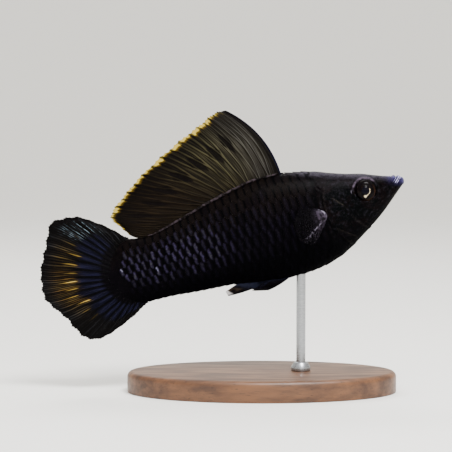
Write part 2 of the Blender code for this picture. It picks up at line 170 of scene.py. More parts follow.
# Paired fins and the male's rod-like anal fin
PECTORAL_ROOT_TOP = (21.6, 0.0)
PECTORAL_ROOT_BOTTOM = (20.9, -3.6)
PECTORAL_MARGIN = (
    (0.00, 25.9, 1.6),
    (0.25, 28.0, -0.6),
    (0.55, 28.6, -3.8),
    (0.80, 27.3, -6.6),
    (1.00, 24.9, -7.9),
)
PECTORAL_STANDOFF = 0.7
PECTORAL_SPREAD = 1.3
PECTORAL_BOW = 0.03
PECTORAL_RAYS = 11
PELVIC_ROOT_FRONT = 32.0
PELVIC_ROOT_BACK = 38.0
PELVIC_TIP_FRONT = (38.8, -15.1)
PELVIC_TIP_BACK = (42.4, -14.1)
PELVIC_ROOT_SIDE = 1.0
PELVIC_TIP_SIDE = 1.4
PELVIC_BOW = -0.10
PELVIC_RAYS = 6
ANAL_ROOT_FRONT = 36.6
ANAL_ROOT_BACK = 44.0
ANAL_ROD_BEND = (42.0, -14.3)
ANAL_TIP_LOW = (48.0, -13.6)
ANAL_TIP_HIGH = (48.3, -12.4)
ANAL_RAYS = 5
FIN_SINK = 0.5

# Skin and scales
SKIN_DEPTH_ON_HEAD = 0.04
SKIN_DEPTH_UNDER_SCALES = 0.24
LEAST_SKIN_VERTICES = 1000
FIRST_SCALE_ALONG = 19.2
LAST_SCALE_ALONG = 73.0
SCALES_END_ALONG = TAIL_ROOT_ALONG + 0.985 * TAIL_ROOT_RADIUS
SCALE_ROOT_DEPTH = 0.34
SCALE_DOME = 0.06
SCALE_THICKNESS = 0.06
# A scale's length is a share of the step to the next one, its half width a share of the step to the
# next row, and each scale draws its share of the painted highlight.
SCALE_LENGTH = 1.95
SCALE_HALF_WIDTH = 0.95
GLINT_SHARES = (0.35, 0.5, 0.6, 0.75, 0.85, 1.0)
# On the map for baking, a scale is a patch of this width at its root's place on the unwrapped body.
BAKE_PATCH = 0.003
BODY_UNWRAP_LENGTH = 90.0
SIDES = ((1, "left"), (-1, "right"))

# The picture's middle falls 8.5 mm behind the stand's centre and 39.5 mm above the floor. The bowl of
# paper round the stand, and the lights, are measured in metres.
PICTURE_MIDDLE = Vector((-8.5, 0, 39.5)) * MM
PICTURE_WIDTH = 107.0 * MM
LIT_SPOT = Vector((0.0, 0.0, 0.04))
SWEEP_FLOOR = 0.65
SWEEP_BEND = 0.95
SWEEP_TOP = 1.15

# The solids of flesh that the one skin replaces
FLESH = ("head", "lower_jaw", "gill_cover_left", "gill_cover_right", "trunk", "tail")

# Colours in sRGB: first the skin's and scales', then each kind of fin's, the eyes' and the stand's
COLOURS = {
    "back": "#0a0706",
    "flank": "#030204",
    "belly": "#010102",
    # Painted highlights on the scales: a violet glow, its grey turn and a white core on the brightest
    "sheen": "#292439",
    "sheen_grey": "#29282e",
    "sheen_light": "#7d7b96",
    # Painted highlight: the top of the head and its upper edge, lighter as lit from above
    "crown": "#171419",
    "crown_light": "#35313b",
    "cheek_brown": "#060303",
    "cheek_green": "#010202",
    # Painted highlights: small specks of light on the head's wet skin
    "cheek_light": "#1b191f",
    # Painted highlight on the wet edges of the gill cover's folds
    "fold_light": "#37322f",
    # The lips' violet, their pale upper edge and the white lines on their folds are painted highlights
    "lips": "#262142",
    "lip_light": "#7d79ad",
    "lip_fold": "#bdb9e0",
    # Painted highlight on the orbit's rim
    "orbit": "#4a404d",
    "ridge": "#332b30",
    "pad": "#332c38",
    "pad_dark": "#0a080c",
    # Painted highlight: the pectoral pads' front rim, the short arc behind the eye and the pale dots on the
    # pectoral fins
    "pad_rim": "#67616f",
    "fin_dark": "#030204",
    # Painted blue-grey sheen on the pelvic and anal fins
    "fin_blue": "#181b2b",
    "fin_brown": "#3a2f28",
    # Painted highlight on the anal fin's point
    "fin_tip": "#d2ced0",
    # The grey and the olive streak colours are painted light coming through the membrane
    "sail_grey": "#3a3838",
    # The gold of the edge is its own colour and partly painted light coming through it
    "sail_gold": "#54420f",
    "sail_front": "#171510",
    "sail_rear": "#090604",
    "sail_streak": "#47432f",
    "sail_streak_rear": "#1d160d",
    "sail_blotch": "#060404",
    "sail_ray": "#030202",
    "sail_edge": "#b79f3c",
    "sail_leading": "#0b0c20",
    "tail_root": "#030204",
    "tail_violet": "#030307",
    "tail_violet_light": "#111122",
    "tail_dark": "#050404",
    "tail_gold": "#c4a24e",
    "tail_amber": "#4a3c20",
    "tail_orange": "#57401d",
    "tail_grey": "#2a2b2f",
    # Painted highlight: teal dashes on the tail's upper lobe
    "tail_teal": "#7f919f",
    "tail_ray": "#020203",
    "iris_brown": "#0a0403",
    "iris_dark": "#020103",
    "iris_gold": "#20120a",
    # Painted highlight: the gold-white crescent below the pupil
    "iris_bright": "#d2c3a2",
    "pupil": "#04030a",
    "walnut_light": "#684327",
    "walnut_dark": "#3b2314",
    "walnut_pore": "#211209",
    "steel_light": "#a8aaad",
    "steel_dark": "#7c7e82",
}

rod_low, rod_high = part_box("stand_rod")
base_low, base_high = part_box("stand_base")
collar_low, collar_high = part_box("stand_collar")

POSE = Matrix.Translation(SNOUT) @ Matrix.Rotation(math.radians(-PITCH_DEG), 4, "Y")


def linear(hex_colour):
    """An sRGB hex colour, such as #2a2031, as linear red, green and blue."""
    parts = [int(hex_colour[k : k + 2], 16) / 255 for k in (1, 3, 5)]
    return tuple(c / 12.92 if c <= 0.04045 else ((c + 0.055) / 1.055) ** 2.4 for c in parts)


def place(along, side, up):
    """A point of the fish's own frame, in millimetres, as a place in the model, in metres."""
    return POSE @ (Vector((-along, side, up)) * MM)


def ease(low, high, x):
    """0 below low, 1 above high, with a soft start and end. low may be the larger."""
    t = min(max((x - low) / (high - low), 0.0), 1.0)
    return t * t * (3 - 2 * t)


def hill(x, centre, width):
    return math.exp(-(((x - centre) / width) ** 2))


def smooth(knots, values, x):
    """The value at x on a curve through the knots that never overshoots them."""
    last = len(knots) - 2
    i = next((k for k in range(last) if x < knots[k + 1]), last)
    steps = [knots[k + 1] - knots[k] for k in range(last + 1)]
    rises = [(values[k + 1] - values[k]) / steps[k] for k in range(last + 1)]

    def slope(k):
        if k == 0 or k == last + 1:
            return rises[min(k, last)]
        before, after = rises[k - 1], rises[k]
        return 0.0 if before * after <= 0 else 2 * before * after / (before + after)

    t = min(max((x - knots[i]) / steps[i], 0.0), 1.0)
    start, end = slope(i) * steps[i], slope(i + 1) * steps[i]
    return (
        values[i] * (1 + 2 * t) * (1 - t) ** 2
        + start * t * (1 - t) ** 2
        + values[i + 1] * t * t * (3 - 2 * t)
        + end * t * t * (t - 1)
    )


@lru_cache(maxsize=None)
def section(along):
    """The cross-section at a distance from the snout, rounded at the nose and the tail root."""
    knots = [s.along for s in STATIONS]
    reach = min(max(along, NOSE_ROUNDING), TAIL_ROOT_ALONG)
    read = {
        field: smooth(knots, [getattr(s, field) for s in STATIONS], reach)
        for field in Station._fields[1:]
    }
    if along < NOSE_ROUNDING:
        shrink = math.sqrt(max(1 - (1 - max(along, 0) / NOSE_ROUNDING) ** 2, 0.0))
        middle = (read["back"] + read["belly"]) / 2
        for field in ("back", "belly"):
            read[field] = middle + (read[field] - middle) * shrink
        read["half_width"] *= shrink
    if along > TAIL_ROOT_ALONG:
        past = min((along - TAIL_ROOT_ALONG) / TAIL_ROOT_RADIUS, 1.0)
        half_height = TAIL_ROOT_RADIUS * math.sqrt(1 - past * past)
        thin = 1 - past * past * (3 - 2 * past)
        read["back"] = TAIL_ROOT_UP + half_height
        read["belly"] = TAIL_ROOT_UP - half_height
        read["half_width"] = PADDLE_TIP_HALF_WIDTH + (read["half_width"] - PADDLE_TIP_HALF_WIDTH) * thin
    return Station(along=along, **read)


def flank(along, up):
    """How far the flank stands out from the middle of the body at this place."""
    cut = section(along)
    level = cut.belly + (cut.back - cut.belly) * cut.widest
    above = up >= level
    reach = (cut.back - level) if above else (level - cut.belly)
    share = min(abs(up - level) / max(reach, 1e-6), 1.0)
    power = cut.round_above if above else cut.round_below
    return cut.half_width * (1 - share**power) ** (1 / power)


@lru_cache(maxsize=None)
def half_outline(along):
    """One side of the cross-section from back to belly: how far round it goes, and its side and up."""
    cut = section(along)
    level = cut.belly + (cut.back - cut.belly) * cut.widest
    turn = np.linspace(math.pi / 2, -math.pi / 2, 121)
    above = turn >= 0
    power = 2 / np.where(above, cut.round_above, cut.round_below)
    reach = np.where(above, cut.back - level, level - cut.belly)
    side = np.abs(np.cos(turn)) ** power * cut.half_width
    up = level + np.sign(np.sin(turn)) * np.abs(np.sin(turn)) ** power * reach
    steps = np.hypot(np.diff(side), np.diff(up))
    round_it = np.concatenate(([0.0], np.cumsum(steps)))
    return round_it / max(round_it[-1], 1e-9), side, up, round_it[-1]


def on_body(along, down):
    """A place on the body's surface. down is 0 on the back and 1 or -1 on the belly, left or right."""
    down = (down + 1) % 2 - 1
    share, side, up, _ = half_outline(round(along, 2))
    out = math.copysign(float(np.interp(abs(down), share, side)), down)
    return Vector((along, out, float(np.interp(abs(down), share, up))))


def out_of_body(along, down):
    """The outward direction of the body's surface there, in the fish's own frame."""
    here, there = max(along - 0.4, 0.0), min(along + 0.4, TAIL_ROOT_ALONG + TAIL_ROOT_RADIUS * 0.995)
    forward = on_body(there, down) - on_body(here, down)
    across = on_body(along, down + 0.03) - on_body(along, down - 0.03)
    return forward.cross(across).normalized()


def margin_point(margin, u):
    knots = [m[0] for m in margin]
    return tuple(smooth(knots, [m[k] for m in margin], u) for k in (1, 2))


def bowed(root, tip, bow, v):
    """A point on a ray from root to tip whose middle is pushed forward by bow, a share of its length."""
    run, rise = tip[0] - root[0], tip[1] - root[1]
    mid = ((root[0] + tip[0]) / 2 - rise * bow, (root[1] + tip[1]) / 2 + run * bow)
    blend = ((1 - v) ** 2, 2 * v * (1 - v), v * v)
    return tuple(sum(b * p[k] for b, p in zip(blend, (root, mid, tip))) for k in (0, 1))


def drawn_in(root, tip, depth):
    share = 1 - depth / math.dist(root, tip)
    return tuple(r + (t - r) * share for r, t in zip(root, tip))


def forks(v):
    """How far the branches of a ray stand from its middle, as shares of the gap to the next ray."""
    first, second = 0.11 + 0.14 * ease(0.0, 0.30, v), 0.125 * ease(0.35, 0.80, v)
    return (first - second, first + second)


def ray_height(rays, u, v):
    """1 on a ray, 0 on the membrane between. A ray is double from its root and forks once more."""
    from_ray = abs(u * (rays - 1) - round(u * (rays - 1)))
    width = 0.09 - 0.035 * v
    return max(hill(from_ray, at, width) for at in forks(v))


def notch(rays, u, deep, fine):
    """How far the membrane's edge draws in between rays and, less, between a ray's branches."""
    x = u * (rays - 1)
    uneven = 0.75 + 0.25 * math.sin(2.3 * x) * math.sin(0.7 * x + 1.0)
    return deep * uneven * abs(math.sin(math.pi * x)) ** 1.5 + fine * abs(math.sin(4 * math.pi * x))


def sail_shape(u, v):
    along = SAIL_BASE_FRONT + (SAIL_BASE_BACK - SAIL_BASE_FRONT) * u
    root = (along, section(along).back - FIN_SINK)
    edge = margin_point(SAIL_MARGIN, u)
    tip = drawn_in(root, edge, notch(SAIL_RAYS, u, 0.35, 0.30) * ease(0.0, 0.08, u))
    at, up = bowed(root, tip, SAIL_BOW - SAIL_BOW_FALL * u, v)
    return at, SAIL_SWAY * math.sin(math.pi * u) * v * v, up


def tail_shape(u, v):
    turn = math.radians(TAIL_FAN_TOP_DEG + (TAIL_FAN_BOTTOM_DEG - TAIL_FAN_TOP_DEG) * u)
    radius = TAIL_ROOT_RADIUS - 2 * FIN_SINK
    root = (TAIL_ROOT_ALONG + radius * math.cos(turn), TAIL_ROOT_UP + radius * math.sin(turn))
    tip = drawn_in(root, margin_point(TAIL_MARGIN, u), notch(TAIL_RAYS, u, 0.50, 0.28))
    at, up = bowed(root, tip, TAIL_BOW * (1 - 2 * u), v)
    return at, TAIL_SWAY * ((at - TAIL_ROOT_ALONG) / TAIL_LENGTH) ** 2, up


def pectoral_shape(side):
    def shape(u, v):
        root = tuple(a + (b - a) * u for a, b in zip(PECTORAL_ROOT_TOP, PECTORAL_ROOT_BOTTOM))
        edge = margin_point(PECTORAL_MARGIN, u)
        tip = drawn_in(root, edge, notch(PECTORAL_RAYS, u, 0.25, 0.12))
        at, up = bowed(root, tip, PECTORAL_BOW, v)
        out = PECTORAL_STANDOFF * ease(-0.15, 0.35, v) + PECTORAL_SPREAD * v
        return at, side * (flank(at, up) + out), up

    return shape


def pelvic_shape(side):
    def shape(u, v):
        along = PELVIC_ROOT_FRONT + (PELVIC_ROOT_BACK - PELVIC_ROOT_FRONT) * u
        root = (along, section(along).belly + FIN_SINK)
        edge = tuple(a + (b - a) * u for a, b in zip(PELVIC_TIP_FRONT, PELVIC_TIP_BACK))
        tip = drawn_in(root, edge, notch(PELVIC_RAYS, u, 0.2, 0.1))
        at, up = bowed(root, tip, PELVIC_BOW * (1 - u), v)
        return at, side * (PELVIC_ROOT_SIDE + (PELVIC_TIP_SIDE - PELVIC_ROOT_SIDE) * v), up

    return shape


def anal_shape(u, v):
    along = ANAL_ROOT_FRONT + (ANAL_ROOT_BACK - ANAL_ROOT_FRONT) * u
    root = (along, section(along).belly + FIN_SINK)
    tip = tuple(a + (b - a) * u for a, b in zip(ANAL_TIP_LOW, ANAL_TIP_HIGH))
    low = [(1 - v) ** 2 * r + 2 * v * (1 - v) * b + v * v * t for r, b, t in zip(root, ANAL_ROD_BEND, tip)]
    high = bowed(root, tip, 0.0, v)
    at, up = (a + (b - a) * u for a, b in zip(low, high))
    return at, 0.0, up


# Kinds of node: Blender's name, the sockets that the inputs feed in turn, the output and the settings
KINDS = {
    "attribute": ("Attribute", (), "Fac", {}),
    "bump": ("Bump", ("Height", "Distance", "Strength"), 0, {}),
    "draw": ("TexWhiteNoise", ("W",), "Value", {"noise_dimensions": "1D"}),
    "join": ("CombineXYZ", ("X", "Y", "Z"), 0, {}),
    "length": ("VectorMath", (0,), "Value", {"operation": "LENGTH"}),
    "map": ("UVMap", (), 0, {}),
    "mapping": ("Mapping", ("Vector", "Location", "Rotation", "Scale"), 0, {}),
    "mix": ("Mix", (0, 6, 7), 2, {"data_type": "RGBA"}),
    "noise": ("TexNoise", ("Vector", "Scale", "Detail", "Roughness"), 0, {}),
    "object": ("TexCoord", (), "Object", {}),
    "scaled": ("Mapping", ("Vector", "Scale"), 0, {}),
    "span": ("MapRange", (0, 1, 2, 3, 4), 0, {"interpolation_type": "SMOOTHSTEP"}),
    "split": ("SeparateXYZ", (0,), slice(None), {}),
}


def feed(node, inputs):
    """Gives a node's inputs their values. A socket is linked, and a colour gets its fourth value."""
    for name, value in inputs.items():
        socket = node.inputs[name]
        if isinstance(value, bpy.types.NodeSocket):
            node.id_data.links.new(value, socket)
        elif socket.type == "RGBA":
            socket.default_value = (*value, 1.0)
        else:
            socket.default_value = value


def add_node(tree, kind, *inputs, **settings):
    """Adds a node and returns its output. The kind is a row of KINDS or else a math operation."""
    name, sockets, output, fixed = KINDS.get(kind, ("Math", (0, 1, 2), 0, {"operation": kind}))
    made = tree.nodes.new(f"ShaderNode{name}")
    for setting, value in {**fixed, **settings}.items():
        setattr(made, setting, value)
    feed(made, dict(zip(sockets, inputs)))
    return made.outputs[output]


def new_material(name, **plain):
    """A Principled material, with what adds a node to it, and its shader. Uniform values are set on
    the shader's own sockets."""
    made = bpy.data.materials.new(name)
    made.use_nodes = True
    shader = made.node_tree.nodes["Principled BSDF"]
    feed(shader, {socket.replace("_", " "): value for socket, value in plain.items()})
    return made, partial(add_node, made.node_tree), shader


def product(node, *factors):
    """The product of the factors. A factor in brackets is a value read softly over a range: it gives
    0 at the range's first end and 1 at its second, or the two numbers that follow them."""
    result = None
    for factor in factors:
        part = node("span", *factor) if isinstance(factor, tuple) else factor
        result = part if result is None else node("MULTIPLY", result, part)
    return result


def coats(node, colour, *layers):
    """Coats of colour laid over one another. Each is its colour and the factors of how far it covers."""
    for over, *factors in layers:
        colour = node("mix", product(node, *factors), colour, over)
    return colour


def fish_frame(node):
    """The shaded place in the fish's own frame, in millimetres: minus along, side and up."""
    moved = node("mapping", node("object"), -SNOUT)
    return node("mapping", moved, (0, 0, 0), (0, math.radians(PITCH_DEG), 0), (1 / MM, 1 / MM, 1 / MM))


def body_markings(node, colours):
    """The fish's colours over skin and scales alike: brown back, black flank and belly, mottled head with a
    painted highlight on its top and upper edge, and violet lips. Returns the colour, the place in the fish's
    frame, its height and a fine noise."""
    where = fish_frame(node)
    before, _, up = node("split", where)
    along = node("MULTIPLY", before, -1.0)
    patches = node("noise", where, 0.28, 4.0, 0.55)
    fine = node("noise", where, 1.3, 3.0, 0.55)
    specks = node("noise", where, 3.4, 2.0, 0.55)
    grit = node("noise", where, 7.5, 1.0, 0.55)
    mottle = cheek_mottle(node, up, patches, fine, specks, grit, colours)
    # Painted highlight: the top of the head lighter, as lit from above
    crown = product(node, (along, 27.0, 4.0), (up, 0.8, 6.0), (fine, 0.32, 0.62, 0.2, 1.0))
    # The painted highlight along the head's upper edge follows that edge, which climbs backward by 0.37 mm in
    # each millimetre.
    under_edge = node("MULTIPLY_ADD", along, -0.37, up)
    edge = product(node, (under_edge, -0.7, 0.7), (along, 29.0, 20.0, 0.0, 0.8), (fine, 0.3, 0.66, 0.5, 1.0))
    colour = coats(
        node,
        colours.flank,
        (colours.back, (up, -1.0, 7.0), (patches, 0.35, 0.6, 0.45, 1.0)),
        (colours.belly, (up, -3.0, -10.0)),
        (mottle, (along, 25.0, 18.0)),
        (colours.crown, crown, (specks, 0.36, 0.6, 0.5, 1.0)),
        (colours.crown_light, edge),
    )
    colour = eye_surround(node, along, up, fine, colour, colours)
    return lip_colours(node, along, up, fine, colour, colours), where, up, fine


def cheek_mottle(node, up, patches, fine, specks, grit, colours):
    """The head's colour: dark brown and green patches under small broken painted highlights."""
    # Painted highlights: small broken specks of light on the head's wet skin
    light = product(node, (fine, 0.52, 0.66), (specks, 0.42, 0.58, 0.25, 1.0))
    light = node("MAXIMUM", light, node("span", specks, 0.62, 0.72, 0.0, 0.6))
    broken = product(node, light, (grit, 0.36, 0.56, 0.3, 1.0))
    light = node("MAXIMUM", broken, node("span", grit, 0.66, 0.74))
    # Only the skin has this value: the painted highlight on the edges of the folds round its gill cover, in
    # short stretches.
    fold = node("attribute", attribute_name="fold")
    return coats(
        node,
        colours.cheek_brown,
        (colours.cheek_green, (patches, 0.44, 0.56)),
        (colours.belly, (fine, 0.5, 0.36, 0.0, 0.8)),
        (colours.cheek_light, light),
        (colours.belly, (up, -3.0, -11.0)),
        (colours.fold_light, fold, (specks, 0.44, 0.62, 0.06, 0.85)),
    )


def lip_colours(node, along, up, fine, colour, colours):
    """Violet lips painted as highlight, paler along the upper edge, with three thin white painted highlights
    on the folds behind the gape.
    """
    # The painted violet reaches down to a line that climbs backward from under the chin to the upper lip.
    above = node("MULTIPLY_ADD", along, -0.45, up)
    lips = product(node, (along, 5.6, 1.4), (above, -2.3, 0.0), (fine, 0.34, 0.58, 0.35, 1.0))
    edge = product(node, (above, -0.1, 1.1), (fine, 0.36, 0.58, 0.3, 0.8))
    edge = node("MAXIMUM", edge, node("span", along, 0.9, 0.2, 0.0, 0.6))
    behind = node("MULTIPLY_ADD", along, 0.616, node("MULTIPLY", up, 0.788))
    off = node("PINGPONG", node("SUBTRACT", behind, LIP_FOLD_START - LIP_FOLD_STEP), LIP_FOLD_STEP / 2)
    folds = product(node, (off, 0.085, 0.02), (behind, 0.9, 0.96), (behind, 2.14, 2.08), (above, -1.3, -0.7))
    return coats(
        node,
        colour,
        (colours.lips, lips),
        (colours.lip_light, edge, lips),
        (colours.lip_fold, folds, (along, 3.4, 2.6), (fine, 0.34, 0.54, 0.2, 1.0)),
    )


def eye_surround(node, along, up, fine, colour, colours):
    """Painted highlights on the rim of the orbit: a broad violet arc above the eye and a short white one
    behind it.
    """
    forward = node("SUBTRACT", along, EYE_CENTRE.x)
    high = node("SUBTRACT", up, EYE_CENTRE.y)
    out = node("length", node("join", forward, high))
    rim, outer = (node("ABSOLUTE", node("SUBTRACT", out, radius)) for radius in ORBIT_ARCS)
    level = node("ABSOLUTE", node("MULTIPLY_ADD", forward, -0.25, high))
    behind = product(node, (outer, 0.09, 0.02), (level, 0.6, 0.2, 0.0, 0.6), (forward, 2.2, 2.6))
    return coats(
        node,
        colour,
        (colours.orbit, (rim, 0.36, 0.06), (high, 0.9, 2.0), (fine, 0.34, 0.56, 0.15, 0.8)),
        (colours.pad_rim, behind, (fine, 0.4, 0.55, 0.3, 1.0)),
    )


def wet_skin(colours):
    """Black pigmented fish skin under a thin film of mucus, which gives soft, broad, wet lights."""
    made, node, shader = new_material("wet_fish_skin", IOR=1.36, Specular_IOR_Level=0.026)
    colour, where, up, fine = body_markings(node, colours)
    wet = node("ADD", node("span", up, -9.0, 4.0, 0.7, 0.30), node("span", fine, 0.3, 0.7, -0.06, 0.1))
    pores = node("noise", where, 4.5, 4.0, 0.6)
    feed(shader, {"Base Color": colour, "Roughness": wet, "Normal": node("bump", pores, 0.10 * MM, 0.7)})
    return made


def wet_scales(colours):
    """Scales of clear horn over black pigment. Each shows a painted highlight: a leaning stroke of
    violet-grey light.
    """
    made, node, shader = new_material("wet_fish_scales", IOR=1.36, Specular_IOR_Level=0.020)
    colour, where, up, fine = body_markings(node, colours)
    # The map of one scale runs from its root, 0, to its free edge, 1, and across it from top to bottom.
    run, lower, _ = node("split", node("map", uv_map="plate"))
    across = node("SUBTRACT", lower, 0.5)
    speckle = node("noise", where, 2.2, 2.0, 0.55)
    hue = node("noise", where, 0.55, 1.0, 0.55)
    glint = node("attribute", attribute_name="glint")
    lean = node("ADD", node("MULTIPLY_ADD", across, -0.07, 0.78), node("span", fine, 0.3, 0.7, -0.04, 0.04))
    off = node("ABSOLUTE", node("SUBTRACT", run, lean))
    height = node("ABSOLUTE", node("ADD", across, 0.03))
    # The leaning stroke of painted highlight on each scale
    stroke = product(node, (off, 0.10, 0.01), (height, 0.38, 0.18), (speckle, 0.36, 0.60, 0.15, 1.0))
    rim = node("MAXIMUM", node("span", run, 0.92, 0.99), node("span", run, 0.64, 0.52))
    sheen = coats(node, colours.sheen, (colours.sheen_grey, (hue, 0.42, 0.58)))
    # Painted highlights: a dim violet glow over the scale, the stroke, and a white core on the brightest
    # scales
    colour = coats(
        node,
        colour,
        (colours.belly, rim, 0.85),
        (colours.sheen, (off, 0.15, 0.03), (height, 0.44, 0.16), glint, 0.42),
        (sheen, stroke, (glint, 0.0, 0.9)),
        (colours.sheen_light, (glint, 0.93, 1.0, 0.0, 0.65), (off, 0.06, 0.01), (across, 0.12, -0.1), stroke),
    )
    rough = node("span", up, -9.0, 4.0, 0.7, 0.35)
    growth = node("noise", where, 3.2, 3.0, 0.55)
    feed(shader, {"Base Color": colour, "Roughness": rough, "Normal": node("bump", growth, 0.06 * MM, 0.6)})
    return made


def ray_place(node):
    """The place on a fin by its own map: across the rays and out along them, from 0 to 1, with the
    rays a little uneven."""
    rays = node("map", uv_map="rays")
    across, out, _ = node("split", rays)
    loose = node("noise", node("scaled", rays, (9.0, 1.5, 1.0)), 1.0, 1.0, 0.55)
    return rays, node("ADD", across, node("span", loose, 0.3, 0.7, -0.004, 0.004)), out


def ray_lines(node, across, out, rays, width):
    """1 on a ray's two halves and their branches, 0 between. width is a share of the gap between rays."""
    from_ray = node("PINGPONG", node("MULTIPLY", across, rays - 1.0), 0.5)
    first = node("span", out, 0.0, 0.30, 0.11, 0.25)
    second = node("span", out, 0.35, 0.80, 0.0, 0.125)
    branches = [node(way, first, second) for way in ("SUBTRACT", "ADD")]
    lines = [node("ABSOLUTE", node("SUBTRACT", from_ray, branch)) for branch in branches]
    return node("span", node("MINIMUM", *lines), width, width * 0.3)


def streaks(node, rays, across, out, detail=2.0):
    """Fine streaks along the rays: across and out say how many fit on the fin each way."""
    return node("noise", node("scaled", rays, (across, out, 1.0)), 1.0, detail, 0.5)


def drawn(node, value, seed):
    """A number from 0 to 1 drawn for each whole step of the value."""
    return node("draw", node("ADD", node("FLOOR", value), seed))


def fin_finish(node, shader, colour, alpha, ray, relief):
    """Joins a fin's colour and its clearness to the shader, with the rays standing proud of its skin."""
    height = node("MULTIPLY_ADD", ray, 0.6, relief)
    feed(shader, {"Base Color": colour, "Alpha": alpha, "Normal": node("bump", height, 0.08 * MM, 0.6)})


def sail_blotches(node, across, out, place_between, fine):
    """One long dark blotch between each two rays, past the middle of their length."""
    between = node("PINGPONG", place_between, 0.5)
    shift = node("span", drawn(node, place_between, 3.0), 0.0, 1.0, -0.05, 0.05)
    wobble = node("ADD", out, node("ADD", shift, node("span", fine, 0.3, 0.7, -0.03, 0.03)))
    from_middle = node("ABSOLUTE", node("SUBTRACT", wobble, 0.62))
    # It narrows toward both of its ends.
    width = node("MULTIPLY_ADD", from_middle, 1.9, 0.14)
    inside = (node("SUBTRACT", between, width), -0.03, 0.07)
    return product(node, inside, (across, 0.10, 0.18), (across, 0.85, 0.62, 0.3, 1.0), 0.92)


def sail_gilding(node, across, out, place_between, fine):
    """Gold along the edge, its own gold and partly painted light coming through it, in two patches between
    each two rays, parted by a dark ray tip. Returns its dull inner part and its bright outer one."""
    place_of_patch = node("MULTIPLY", place_between, 2.0)
    patch = node("span", node("PINGPONG", place_of_patch, 0.5), 0.04, 0.24)
    depth = node("span", drawn(node, place_of_patch, 9.0), 0.0, 1.0, -0.022, 0.014)
    ragged = node("ADD", node("ADD", out, depth), node("span", fine, 0.3, 0.7, -0.012, 0.012))
    shown = product(node, (across, 0.05, 0.16), (across, 0.99, 0.88, 0.2, 1.0))
    inner = product(node, (ragged, 0.915, 0.96, 0.0, 0.75), patch, shown)
    return inner, product(node, (ragged, 0.95, 0.972), (patch, 0.0, 1.0, 0.12, 1.0), shown)


def sail_membrane(colours):
    """Thin fin skin on soft rays: olive streaks painted as the light that comes through it, dark blotches, a
    torn gold edge that is partly painted light coming through.
    """
    made, node, shader = new_material("sail_membrane", Roughness=0.5, IOR=1.36, Specular_IOR_Level=0.035)
    rays, across, out = ray_place(node)
    ray, beside = (ray_lines(node, across, out, SAIL_RAYS, width) for width in (0.055, 0.13))
    fine = streaks(node, rays, 210.0, 1.6)
    hair = streaks(node, rays, 420.0, 2.2, 1.0)
    broad = streaks(node, rays, 40.0, 1.8)
    front = product(node, (across, 0.54, 0.16), (out, 0.05, 0.3, 0.6, 1.0))
    by_leading_ray = (colours.sail_grey, (across, 0.30, 0.10, 0.0, 0.8))
    # The pale streaks are painted light coming through the membrane
    pale = coats(node, colours.sail_streak_rear, (colours.sail_streak, front), by_leading_ray)
    place_between = node("MULTIPLY", across, SAIL_RAYS - 1.0)
    blotch = sail_blotches(node, across, out, place_between, fine)
    inner, edge = sail_gilding(node, across, out, place_between, fine)
    thread = product(node, ray, (hair, 0.3, 0.55, 0.25, 0.95))
    colour = coats(
        node,
        colours.sail_rear,
        (colours.sail_front, front),
        (pale, (fine, 0.45, 0.57), (broad, 0.35, 0.6, 0.25, 1.0), (hair, 0.34, 0.6, 0.3, 0.8)),
        (colours.sail_blotch, blotch),
        (colours.sail_blotch, (out, 0.60, 0.85), (across, 0.05, 0.3, 0.25, 0.65)),
        (colours.sail_rear, (out, 0.12, 0.0, 0.0, 0.6)),
        # Each ray is a pale thread of painted light coming through, between two dark lines.
        (colours.sail_ray, beside, 0.8),
        (pale, thread, (out, 0.95, 0.6, 0.25, 1.0), (blotch, 0.0, 0.9, 1.0, 0.35)),
        # The gold edge: its own gold, partly painted light coming through it
        (colours.sail_gold, inner),
        (colours.sail_edge, edge),
        (colours.sail_blotch, (across, 0.055, 0.03, 0.0, 0.85)),
        (colours.sail_leading, (across, 0.014, 0.0)),
    )
    fin_finish(node, shader, colour, node("span", edge, 0.0, 1.0, 1.0, 0.8), beside, fine)
    return made


def tail_fringe(node, out, middle, thread, place_of_thread, fine, colours):
    """Dark skin with threads, some of them bright: amber in the middle of the fan, grey round it.
    Returns its colour and how far the threads shine."""
    bright = (drawn(node, place_of_thread, 17.0), 0.2, 0.9, 0.12, 1.0)
    lit = product(node, thread, bright, (fine, 0.36, 0.58, 0.25, 1.0), (out, 1.0, 0.78, 0.5, 1.0))
    amber = coats(
        node,
        colours.tail_amber,
        (colours.tail_orange, (drawn(node, place_of_thread, 23.0), 0.45, 0.9)),
        (colours.tail_grey, (out, 0.72, 0.98)),
    )
    threads = coats(node, colours.tail_grey, (amber, middle))
    return coats(node, colours.tail_dark, (threads, lit, (middle, 0.0, 1.0, 0.28, 1.0))), lit


def tail_windows(node, gap, ragged, middle, place_between, fine):
    """Gold lights, one in each gap between rays: a point at first, soon at its widest, then threads."""
    swell = product(node, (ragged, 0.44, 0.56), (ragged, 0.92, 0.58))
    opening = node("MULTIPLY_ADD", swell, -0.14, 0.55)
    inside = (node("SUBTRACT", gap, opening), 0.0, 0.07)
    strength = (drawn(node, place_between, 31.0), 0.05, 0.8, 0.25, 1.0)
    return product(node, inside, swell, middle, strength, (fine, 0.38, 0.56, 0.35, 1.0))


